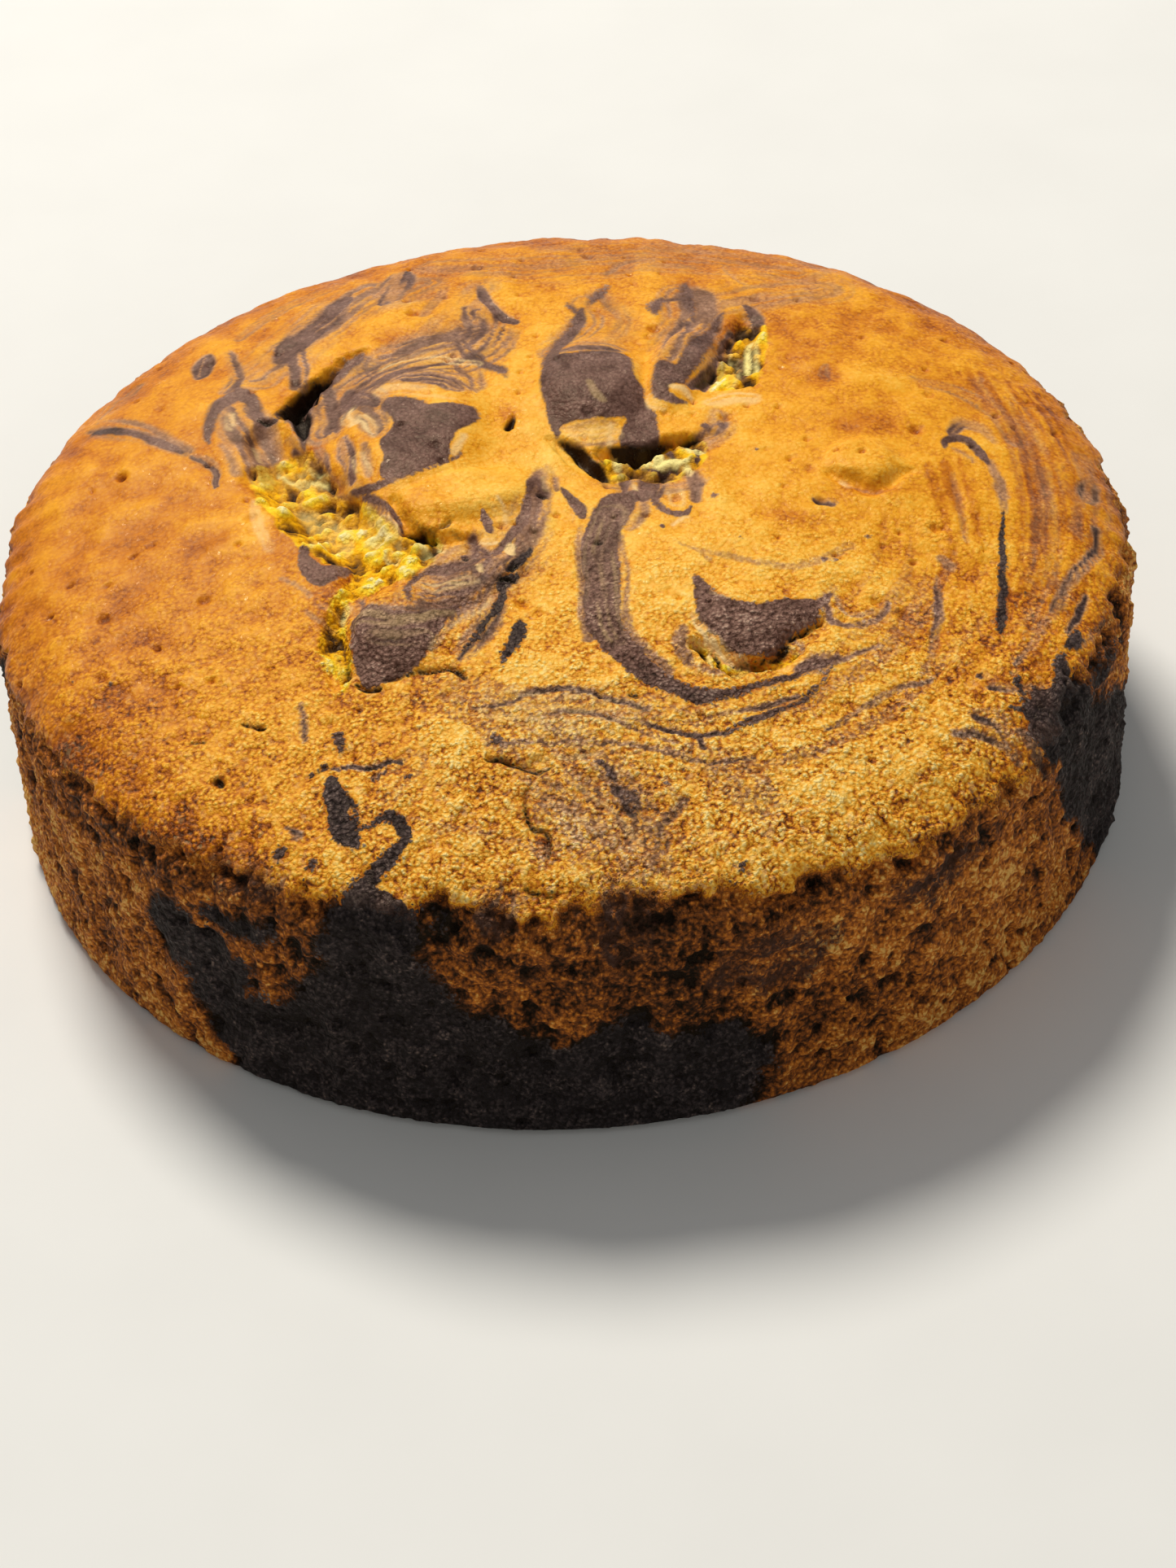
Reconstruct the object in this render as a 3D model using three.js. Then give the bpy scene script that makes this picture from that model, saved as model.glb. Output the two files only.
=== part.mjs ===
// A round marble cake, whole and uncut, as it comes out of a 23 cm tin lined with paper.
// One closed solid in millimetres, +Z up, with its origin at the centre of the flat base.
// The top is a low dome that has split open round the middle, where the chocolate batter was
// swirled in. The wall is straight, with the faint creases that the lining paper left.

import * as THREE from 'three';

// ---- Driving dimensions -------------------------------------------------------------------

const CAKE_RADIUS = 115; // wall of the cake, half of the tin's 23 cm
const WALL_HEIGHT = 45.5; // where the straight wall turns into the shoulder
const SHOULDER_WIDTH = 14; // how far the shoulder rounds inwards from the wall
const SHOULDER_RISE = 9; // how far the shoulder climbs above the wall
const DOME_RISE = 14; // height that the dome adds in the middle
const DOME_POWER = 2.4; // higher is flatter in the middle and steeper at the edge
const BASE_BEVEL = 1.6; // small round at the foot of the wall
const BASE_FLARE = 0.6; // the foot is this much wider than the top of the wall

const DOME_RINGS = 27; // rings of points from the middle to the shoulder
const SHOULDER_RINGS = 5;
const WALL_RINGS = 10;
const RING_STEP = 6; // points that each ring has more than the one inside it

// ---- Relief of the top: [x, y, half width, depth or height] along each line ------------------

// Places where the crust tore open and the crumb shows.
const SPLITS = {
  backGap: [[-38, 55, 1.4, 0.8], [-46, 48, 2, 2.5], [-51, 40, 2.6, 4.5], [-54.5, 33, 3, 5]],
  longSplit: [[-59, 26, 5, 2.6], [-56, 16, 8, 4], [-50, 5, 9, 4.5], [-43, -8, 9, 4.5],
    [-38, -20, 8, 3.5], [-38, -29, 6, 2.6], [-44, -40, 4, 2.2], [-44, -54, 3, 1.4]],
  petalTear: [[-33, -4, 2, 1.5], [-30, -13, 2.6, 2.4], [-24, -17, 3, 2.6], [-18, -17.5, 2.4, 1.4]],
  navelGap: [[0, 15, 1.4, 1], [4.5, 8.6, 2, 2.4], [9, 3, 2, 1.8]],
  blobGap: [[11, 9, 2, 2.4], [16.5, 7, 3.2, 4], [21.5, 9, 2.4, 2.4], [32, 14, 1.8, 1]],
  navelHollow: [[14, 1, 5, 1.4], [23, -1, 6, 1.4]],
  backSplit: [[32, 31, 2, 1.4], [37, 40, 4, 2.6], [41, 50, 4, 2.6], [43, 58, 2.6, 1]],
  smileHollow: [[24, -53, 2.5, 1.4], [31, -58, 3, 1.8], [40, -56, 3, 1.8], [49, -46, 2, 1]],
  blisterFold: [[55, -3, 2, 1], [62, -8, 2.5, 1.5], [70, -2, 2, 1]],
  frontCrack: [[-18, -78, 1, 0.6], [-8, -81, 1.2, 0.9], [2, -80, 1, 0.4]],
};

// Lobes of batter that rose above the rest: [x, y, half length in x, in y, turn in degrees, height].
const LOBES = {
  island: [-29, 22, 17, 27, 0, 3],
  petal: [-18, -3, 17, 9, 8, 2],
  middleBlob: [9, 33, 12, 19, 0, 2.8],
  sideBlob: [27, 38, 7, 18, -15, 2.5],
  featherHead: [-32, -43, 11, 13, 0, 2.2],
  featherTail: [-17, -31, 14, 5, 40, 1.4],
  smile: [37, -44, 13, 8, 0, 0.9],
  blister: [62, 2, 8, 8, 0, 1.6],
};
const LOBE_EDGE = 0.5; // share of a lobe's size where its side begins

const WAVE_LENGTH = 34; // slow unevenness of the whole top
const WAVE_HEIGHT = 1.4;

// ---- Creases and torn crumb of the wall ------------------------------------------------------

// Radial waves round the wall: [number of waves, height, starting angle].
const CREASES = [[5, 0.5, 0.7], [19, 0.35, 2.1], [43, 0.4, 0.4]];
const CRUMB_PATCHES = 80; // patches round the wall where crumb came off with the paper
const CRUMB_LENGTH = (2 * Math.PI * CAKE_RADIUS) / CRUMB_PATCHES;
const CRUMB_DEPTH = 1.1;
const LIP_HEIGHT = 0.9; // the crust's edge stands proud of the torn wall
const LIP_ANGLE = 35; // degrees up the shoulder where the lip is proudest

const degrees = THREE.MathUtils.degToRad;
const { smoothstep, lerp } = THREE.MathUtils;

// A repeatable random number from 0 to 1 for a grid point.
function gridValue(i, j) {
  const s = Math.sin(i * 127.1 + j * 311.7) * 43758.5453;
  return s - Math.floor(s);
}

// Smooth noise from -1 to 1, with one bump or hollow for each unit. It repeats in x after
// a given number of units, so that it closes on itself round the wall.
function noise(x, y, repeat = Infinity) {
  const i = Math.floor(x);
  const j = Math.floor(y);
  const left = i % repeat;
  const right = (i + 1) % repeat;
  const u = smoothstep(x - i, 0, 1);
  const v = smoothstep(y - j, 0, 1);
  const near = lerp(gridValue(left, j), gridValue(right, j), u);
  const far = lerp(gridValue(left, j + 1), gridValue(right, j + 1), u);
  return 2 * lerp(near, far, v) - 1;
}

// Depth of a split at a point: full on its centre line, with steep walls at its half width.
function splitDepth(x, y, line) {
  let deepest = 0;
  for (let k = 1; k < line.length; k += 1) {
    const [x0, y0, width0, depth0] = line[k - 1];
    const [x1, y1, width1, depth1] = line[k];
    const dx = x1 - x0;
    const dy = y1 - y0;
    const along = ((x - x0) * dx + (y - y0) * dy) / (dx * dx + dy * dy);
    const t = THREE.MathUtils.clamp(along, 0, 1);
    const away = Math.hypot(x - x0 - t * dx, y - y0 - t * dy);
    const shape = 1 - smoothstep(away / lerp(width0, width1, t), 0.35, 1.15);
    deepest = Math.max(deepest, shape * lerp(depth0, depth1, t));
  }
  return deepest;
}

function lobeHeight(x, y, [cx, cy, halfX, halfY, turn, height]) {
  const c = Math.cos(degrees(turn));
  const s = Math.sin(degrees(turn));
  const across = ((x - cx) * c + (y - cy) * s) / halfX;
  const up = ((y - cy) * c - (x - cx) * s) / halfY;
  return height * (1 - smoothstep(Math.hypot(across, up), LOBE_EDGE, 1.1));
}

// How far the top stands above (or below) its smooth dome at a point.
function topRelief(x, y) {
  const lobes = Object.values(LOBES).map((lobe) => lobeHeight(x, y, lobe));
  const splits = Object.values(SPLITS).map((line) => splitDepth(x, y, line));
  const waves = noise(x / WAVE_LENGTH, y / WAVE_LENGTH);
  return Math.max(...lobes) - Math.max(...splits) + WAVE_HEIGHT * waves;
}

// How far the wall stands out (or in) at an angle and a height.
function wallRelief(angle, z) {
  let out = 0;
  for (const [count, height, start] of CREASES) {
    out += height * Math.sin(count * angle + start);
  }
  const round = (angle * CAKE_RADIUS) / CRUMB_LENGTH;
  const crumb = noise(round, z / CRUMB_LENGTH, CRUMB_PATCHES);
  return out - CRUMB_DEPTH * smoothstep(crumb, 0.2, 0.9);
}

function domeHeight(radius) {
  return DOME_RISE * (1 - (radius / CAKE_RADIUS) ** DOME_POWER);
}

// A point of the dome: the relief fades out towards the shoulder.
function domePoint(radius, angle) {
  const x = radius * Math.cos(angle);
  const y = radius * Math.sin(angle);
  const z = WALL_HEIGHT + SHOULDER_RISE + domeHeight(radius);
  return new THREE.Vector3(x, y, z + topRelief(x, y));
}

// A point of the shoulder, at an elevation of 90 degrees on the dome's edge and 0 on the wall.
function shoulderPoint(elevation, angle) {
  const flat = Math.sin(elevation);
  const radius = CAKE_RADIUS - SHOULDER_WIDTH * (1 - Math.cos(elevation));
  const lip = LIP_HEIGHT * Math.cos(1.4 * (elevation - degrees(LIP_ANGLE))) ** 2;
  const out = radius + lip * (1 - flat) + wallRelief(angle, WALL_HEIGHT) * (1 - flat);
  const x = out * Math.cos(angle);
  const y = out * Math.sin(angle);
  const z = WALL_HEIGHT + SHOULDER_RISE * flat + domeHeight(radius);
  return new THREE.Vector3(x, y, z + topRelief(x, y) * flat);
}

// A point of the wall. The relief fades out at the foot, which keeps the base a clean circle.
function wallPoint(z, angle) {
  const above = z / WALL_HEIGHT;
  const lip = LIP_HEIGHT * Math.cos(1.4 * degrees(LIP_ANGLE)) ** 2 * smoothstep(above, 0.8, 1);
  const relief = wallRelief(angle, z) * smoothstep(z, 0, CRUMB_LENGTH);
  const radius = CAKE_RADIUS + BASE_FLARE * (1 - above) + relief + lip;
  return new THREE.Vector3(radius * Math.cos(angle), radius * Math.sin(angle), z);
}

// ---- The skin of the cake, ring by ring ------------------------------------------------------

function ring(count, pointAt) {
  const angles = Array.from({ length: count }, (_, i) => (i / count) * 2 * Math.PI);
  return angles.map(pointAt);
}

function cakeRings() {
  const rings = [[domePoint(0, 0)]];
  const domeEdge = CAKE_RADIUS - SHOULDER_WIDTH;
  for (let k = 1; k <= DOME_RINGS; k += 1) {
    const radius = (domeEdge * k) / DOME_RINGS;
    rings.push(ring(RING_STEP * k, (angle) => domePoint(radius, angle)));
  }
  for (let k = 1; k <= SHOULDER_RINGS; k += 1) {
    const elevation = degrees(90 * (1 - k / SHOULDER_RINGS));
    rings.push(ring(RING_STEP * (DOME_RINGS + k), (angle) => shoulderPoint(elevation, angle)));
  }
  const rimCount = RING_STEP * (DOME_RINGS + SHOULDER_RINGS);
  for (let k = 1; k <= WALL_RINGS; k += 1) {
    const z = lerp(WALL_HEIGHT, BASE_BEVEL, k / WALL_RINGS);
    rings.push(ring(rimCount, (angle) => wallPoint(z, angle)));
  }
  const baseRadius = CAKE_RADIUS + BASE_FLARE - BASE_BEVEL;
  const basePoint = (angle) => new THREE.Vector3(
    baseRadius * Math.cos(angle), baseRadius * Math.sin(angle), 0);
  rings.push(ring(rimCount, basePoint));
  rings.push([new THREE.Vector3(0, 0, 0)]);
  return rings;
}

// Triangles between an upper ring and the next one down, whatever their numbers of points.
// A ring of one point is a pole: it takes no steps of its own.
function stitch(upper, upperStart, lower, lowerStart, index) {
  const upperSteps = upper > 1 ? upper : 0;
  const lowerSteps = lower > 1 ? lower : 0;
  let i = 0;
  let j = 0;
  while (i < upperSteps || j < lowerSteps) {
    const upperTurn = i < upperSteps ? (i + 1) / upper : Infinity;
    const lowerTurn = j < lowerSteps ? (j + 1) / lower : Infinity;
    const a = upperStart + (i % upper);
    const b = lowerStart + (j % lower);
    if (lowerTurn <= upperTurn) {
      index.push(a, b, lowerStart + ((j + 1) % lower));
      j += 1;
    } else {
      index.push(a, b, upperStart + ((i + 1) % upper));
      i += 1;
    }
  }
}

function cakeGeometry() {
  const rings = cakeRings();
  const index = [];
  let start = 0;
  for (let k = 1; k < rings.length; k += 1) {
    const next = start + rings[k - 1].length;
    stitch(rings[k - 1].length, start, rings[k].length, next, index);
    start = next;
  }
  const geometry = new THREE.BufferGeometry().setFromPoints(rings.flat());
  geometry.setIndex(index);
  geometry.computeVertexNormals();
  return geometry;
}

const crust = new THREE.MeshStandardMaterial({ color: '#cb8c3a', roughness: 0.85, metalness: 0 });

const cake = new THREE.Mesh(cakeGeometry(), crust);
cake.name = 'cake';

const marbleCake = new THREE.Group();
marbleCake.add(cake);

export default marbleCake;
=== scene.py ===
import math

import bpy
import numpy as np
from mathutils import Matrix, Vector


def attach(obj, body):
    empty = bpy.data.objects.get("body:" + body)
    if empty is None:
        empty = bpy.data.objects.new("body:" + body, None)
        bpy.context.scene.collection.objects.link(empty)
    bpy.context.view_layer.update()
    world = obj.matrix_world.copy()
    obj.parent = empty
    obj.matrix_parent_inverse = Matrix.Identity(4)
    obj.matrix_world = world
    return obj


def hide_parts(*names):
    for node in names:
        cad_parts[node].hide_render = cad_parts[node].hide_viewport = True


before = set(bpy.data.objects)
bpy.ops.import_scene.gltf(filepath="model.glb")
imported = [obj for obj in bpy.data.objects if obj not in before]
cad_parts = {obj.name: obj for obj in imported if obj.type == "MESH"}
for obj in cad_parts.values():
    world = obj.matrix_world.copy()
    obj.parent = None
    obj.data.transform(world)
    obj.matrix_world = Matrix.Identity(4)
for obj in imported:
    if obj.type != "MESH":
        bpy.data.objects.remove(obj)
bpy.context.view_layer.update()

MM = 0.001  # the scene is in metres, and the values here are in millimetres

# The cake is one skin, finer than the solid. Its relief and its marbling come from the lines,
# outlines and formulas below, and its colours from what each of its points then is.

# ---- The form of the cake, in millimetres: the same values as the solid's source --------------

CAKE_RADIUS = 115.0
WALL_HEIGHT = 45.5
SHOULDER_WIDTH = 14.0
SHOULDER_RISE = 9.0
DOME_RISE = 14.0
DOME_POWER = 2.4
BASE_BEVEL = 1.6
BASE_FLARE = 0.6

# Where the crust tore open: (x, y, half width, depth) along each line.
SPLITS = {
    "back_gap": [(-38, 55, 1.4, 0.8), (-46, 48, 2, 2.5), (-51, 40, 2.6, 4.5), (-54.5, 33, 3, 5)],
    "long_split": [
        (-59, 26, 5, 2.6), (-56, 16, 8, 4), (-50, 5, 9, 4.5), (-43, -8, 9, 4.5),
        (-38, -20, 8, 3.5), (-38, -29, 6, 2.6), (-44, -40, 4, 2.2), (-44, -54, 3, 1.4)],
    "petal_tear": [
        (-33, -4, 2, 1.5), (-30, -13, 2.6, 2.4), (-24, -17, 3, 2.6), (-18, -17.5, 2.4, 1.4)],
    "navel_gap": [(0, 15, 1.4, 1), (4.5, 8.6, 2, 2.4), (9, 3, 2, 1.8)],
    "blob_gap": [(11, 9, 2, 2.4), (16.5, 7, 3.2, 4), (21.5, 9, 2.4, 2.4), (32, 14, 1.8, 1)],
    "navel_hollow": [(14, 1, 5, 1.4), (23, -1, 6, 1.4)],
    "back_split": [(32, 31, 2, 1.4), (37, 40, 4, 2.6), (41, 50, 4, 2.6), (43, 58, 2.6, 1)],
    "smile_hollow": [(24, -53, 2.5, 1.4), (31, -58, 3, 1.8), (40, -56, 3, 1.8), (49, -46, 2, 1)],
    "blister_fold": [(55, -3, 2, 1), (62, -8, 2.5, 1.5), (70, -2, 2, 1)],
    "front_crack": [(-18, -78, 1, 0.6), (-8, -81, 1.2, 0.9), (2, -80, 1, 0.4)],
}

# Lobes of risen batter: (x, y, half length in x, in y, turn in degrees, height).
LOBES = {
    "island": (-29, 22, 17, 27, 0, 3),
    "petal": (-18, -3, 17, 9, 8, 2),
    "middle_blob": (9, 33, 12, 19, 0, 2.8),
    "side_blob": (27, 38, 7, 18, -15, 2.5),
    "feather_head": (-32, -43, 11, 13, 0, 2.2),
    "feather_tail": (-17, -31, 14, 5, 40, 1.4),
    "smile": (37, -44, 13, 8, 0, 0.9),
    "blister": (62, 2, 8, 8, 0, 1.6),
}
LOBE_EDGE = 0.5
WAVE_LENGTH = 34.0
WAVE_HEIGHT = 1.4

CREASES = [(5, 0.5, 0.7), (19, 0.35, 2.1), (43, 0.4, 0.4)]  # count, height and start of each wave
CRUMB_PATCHES = 80
CRUMB_LENGTH = 2 * math.pi * CAKE_RADIUS / CRUMB_PATCHES
CRUMB_DEPTH = 1.1
CRUMB_EDGE = (0.2, 0.9)
LIP_HEIGHT = 0.9
LIP_ANGLE = 35.0  # elevation on the shoulder at which the lip stands out most
LIP_SHARPNESS = 1.4
LIP_START = (0.8, 1)  # shares of the wall's height

# ---- The marbling of the top: x to the right and y to the back, in millimetres ----------------

# Chocolate lines: (x, y, half width) along each.
COCOA_LINES = {
    "hook": [
        (12, -9, 4), (10.3, -13, 4), (8.6, -18, 3.8), (7.9, -24, 3.6), (7.1, -32, 3.5),
        (7, -40, 3.4), (7.5, -46, 3.4), (8.6, -50, 3.2), (10.3, -54, 3), (12.6, -58, 2.6),
        (15.4, -60.5, 2.1), (19, -62.8, 1.9), (24, -65.3, 1.8), (29, -65, 1.2), (34, -63.8, 1),
        (38.5, -62.2, 0.9), (42.5, -60.3, 0.8), (46, -58.2, 0.9), (50, -56.8, 0.4)],
    "hook_head": [(12, -8.5, 2.2), (15, -6.8, 2), (16.6, -4.6, 0.9)],
    "hook_side": [
        (19, -6, 0.5), (19.8, -9, 0.9), (21, -11.6, 0.9), (23.4, -13.6, 1), (25.6, -13.4, 0.8),
        (26.6, -11, 0.3)],
    "middle_arm": [
        (0.6, 37, 1.6), (1.3, 43, 2), (2.6, 48, 2), (4.6, 53, 1.9), (6.4, 58, 1.8), (7.6, 63, 1.7),
        (8.3, 67, 0.8)],
    "arm_tip": [(10, 69.5, 0.5), (11.6, 73, 1.4), (13.6, 77, 0.6)],
    "arm_fork": [(7.4, 65, 0.6), (6, 68, 0.8), (5.2, 71, 0.3)],
    "back_patch": [(23.4, 61.5, 0.7), (24, 65.5, 1.6), (25.6, 69, 0.8)],
    "back_tick": [
        (31.4, 58, 0.6), (31, 63, 0.8), (30.8, 69, 1.3), (31.2, 74, 1.3), (31.4, 78, 0.5)],
    "navel_wedge": [
        (1.3, -1, 0.4), (2.2, -4, 0.9), (3.4, -7.5, 1.3), (4.6, -10.5, 1.4), (5, -12.5, 0.7)],
    "navel_stroke": [
        (-4, 1.6, 0.6), (-5, -1, 0.9), (-5.6, -5, 0.7), (-6.2, -9, 1.1), (-7.2, -13, 1.5),
        (-9, -16.4, 1.3), (-11, -19.6, 1.2), (-12.6, -23.4, 0.8)],
    "navel_side": [(-14.8, -10.6, 0.6), (-14.2, -13, 1.3), (-13.4, -15.4, 1)],
    "navel_crumb_a": [(13, 6.6, 0.7), (15.4, 5.2, 1.1), (17, 3.4, 0.6)],
    "navel_crumb_b": [(20.4, 9.6, 0.6), (22.4, 8.2, 1), (23.8, 6, 0.7)],
    "navel_crumb_c": [(26.4, 10.4, 0.5), (28, 8.4, 0.9), (28.6, 5.8, 0.6)],
    "navel_crumb_d": [(18.8, 3.2, 0.5), (21.6, 2.4, 0.8), (24.2, 3.4, 0.5)],
    "tail_drop": [
        (-5.4, -20.6, 0.4), (-6.4, -22.6, 1.2), (-7.6, -25, 1.3), (-9, -27.4, 1.1),
        (-10, -28.8, 0.5)],
    "tail_stripe": [
        (-8.4, -29.4, 0.6), (-10, -30.8, 1.3), (-12, -33.6, 1.1), (-11.8, -36.4, 1.2),
        (-12.8, -39.4, 1), (-14.2, -41.4, 0.6), (-15.6, -44, 0.8), (-17.2, -47.2, 0.7),
        (-19.2, -49.8, 0.5), (-21, -52, 0.3)],
    "feather_back": [
        (-29.4, -38, 0.4), (-29.8, -35, 0.8), (-29.6, -32, 0.9), (-28.6, -29.6, 0.8),
        (-26.6, -27.8, 0.6), (-24, -26.8, 0.4)],
    "leaf": [
        (-8.1, -42.4, 0.5), (-8.6, -45, 1.6), (-9.8, -48.6, 1.5), (-11.2, -51.6, 1.2),
        (-12.4, -54.6, 0.6), (-12.8, -55.8, 0.3)],
    "petal_edge": [
        (-38.2, -0.4, 0.5), (-35.8, -2.6, 0.6), (-34, -4.4, 0.5), (-33, -6.8, 0.7),
        (-32.2, -9.2, 0.7), (-31.5, -11.8, 0.5)],
    "petal_top": [
        (-40.8, 2.4, 0.6), (-38.4, 1.2, 1), (-35.6, 0.5, 1.2), (-31, 0.8, 0.8), (-26, 2.3, 0.5),
        (-22.4, 4.8, 0.5), (-19.6, 7.2, 0.6), (-18.2, 9.4, 0.4)],
    "island_hook": [
        (-17, 49, 0.6), (-15.5, 46, 1.4), (-13.6, 43, 1.6), (-11.6, 41, 1.5), (-10, 39, 1.2),
        (-9.6, 36.4, 0.5)],
    "left_arch": [
        (-70.8, 26.6, 0.5), (-70.9, 31, 1.2), (-70.6, 35, 1.3), (-69.6, 39, 1.7),
        (-67.4, 41.6, 2.2), (-65.2, 43, 2.3), (-63, 41, 1.9), (-61.4, 37.6, 1.3), (-60.5, 34, 1.2),
        (-59.4, 31, 1.2), (-56.6, 30.6, 0.9)],
    "left_spur": [(-65.8, 44, 1.3), (-65.6, 47, 0.9), (-66, 50.4, 0.4)],
    "left_line": [
        (-96, 41.8, 1.2), (-91.6, 39.6, 1.8), (-87.6, 36.4, 1.2), (-83.6, 32.6, 1.3),
        (-79.6, 29.2, 1.6), (-76.8, 25.8, 0.7)],
    "knife_streak": [
        (88, -12.4, 0.3), (87.3, -17, 0.6), (86.6, -22, 0.8), (86, -28, 1), (85.3, -34, 1.1),
        (84.5, -39, 1.1), (83.5, -43.6, 1.1), (82.7, -47.6, 0.5)],
    "right_arc": [
        (79.8, 8.4, 0.5), (80.4, 11, 1.1), (82.4, 12, 1.2), (84.4, 11, 1.1), (85.5, 8.6, 1),
        (86.6, 6, 1.1), (87.4, 3, 0.5)],
    "right_edge": [
        (107.4, -39, 0.3), (106, -44, 0.5), (103.4, -48, 0.6), (101.2, -51.4, 0.5),
        (99.8, -54.8, 0.4)],
    "right_spot": [(98.7, -43.4, 0.6), (98, -46, 1.5), (96.2, -48.2, 1.2), (94.8, -49.2, 0.4)],
    "right_foot": [(91, -65.4, 1.4), (87, -66.6, 1.2), (82.6, -66.6, 0.5)],
    "right_tick": [(83.8, -59, 0.4), (84.2, -61, 0.7), (85, -63.8, 0.4)],
    "seahorse": [
        (-44.8, -78.4, 1.4), (-44.7, -82, 2.4), (-43.8, -86, 3), (-43.5, -90, 2.8),
        (-42.2, -93.4, 1.8), (-40.4, -94.6, 0.6)],
    "seahorse_tail": [
        (-41, -90.2, 0.8), (-38.6, -90.4, 0.5), (-36.8, -89.2, 0.9), (-34.8, -88.6, 1.3),
        (-33.2, -89.6, 1.4), (-32.2, -91.6, 1.3), (-31.3, -94, 1), (-33.2, -96.4, 1.7),
        (-36, -99, 1.7), (-39, -102, 2), (-42, -105, 3)],
    "south_line": [
        (28.6, -74.8, 0.3), (31.6, -73.2, 0.5), (34.6, -71.8, 0.7), (37.6, -69.8, 0.8),
        (39.6, -68.6, 0.5), (42, -67.4, 0.5), (44, -65.4, 0.5), (46.2, -63, 0.4), (48, -60.6, 0.6),
        (49.6, -58.4, 0.3)],
}

# Lines and patches of darker chocolate than the rest.
DARK_MARKS = ("leaf", "tail_stripe", "tail_drop", "knife_streak", "seahorse", "seahorse_tail",
              "right_edge", "right_spot", "right_foot", "right_tick", "right_patch")

# Small chocolate spots: (x, y, radius).
COCOA_SPOTS = [
    (-44.1, -68.4, 1.2), (-43.6, -69.8, 1.3), (-43.2, -71.3, 0.9), (-46.4, -75, 0.9),
    (-48.6, -76.1, 0.7), (-54.8, -91.4, 1.3), (-49.2, -95.8, 1.1), (-15, -74.2, 1.2),
    (-31, -80.2, 0.7), (51, -29.6, 0.9), (53.6, -29.7, 0.6), (60.8, -22, 0.5), (90, -34.6, 0.6),
    (77.6, -59.2, 0.8), (87.6, -60.6, 0.5), (1, 15.6, 0.9), (31.2, 16.2, 0.9), (34.6, 16.4, 1.1),
    (28.6, 4.2, 0.8), (29, -4.6, 0.7), (31.6, -8.6, 0.8), (20.4, -17.4, 0.7), (34.5, -23.6, 0.4),
    (-3, -4.3, 1.2), (-18.3, -24, 0.9), (-23.6, -26.4, 0.8), (8.8, -88.4, 0.8), (7, -87.4, 0.6),
    (9.4, -92, 0.7), (16, -87, 0.5), (41, 6.8, 0.6), (-96, -40, 0.4), (-88, -64, 0.5),
    (-88, -43, 0.5), (-88.4, -48.6, 0.6), (28.6, -104, 0.9), (11.6, -65.2, 0.6), (6.8, -88.4, 0.9),
    (9, -90.2, 0.8), (9.6, -92.8, 0.6), (4.4, -81.8, 0.7), (5.8, -84, 0.5), (10, -88, 0.5),
    (7.8, -92, 0.6),
]

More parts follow.
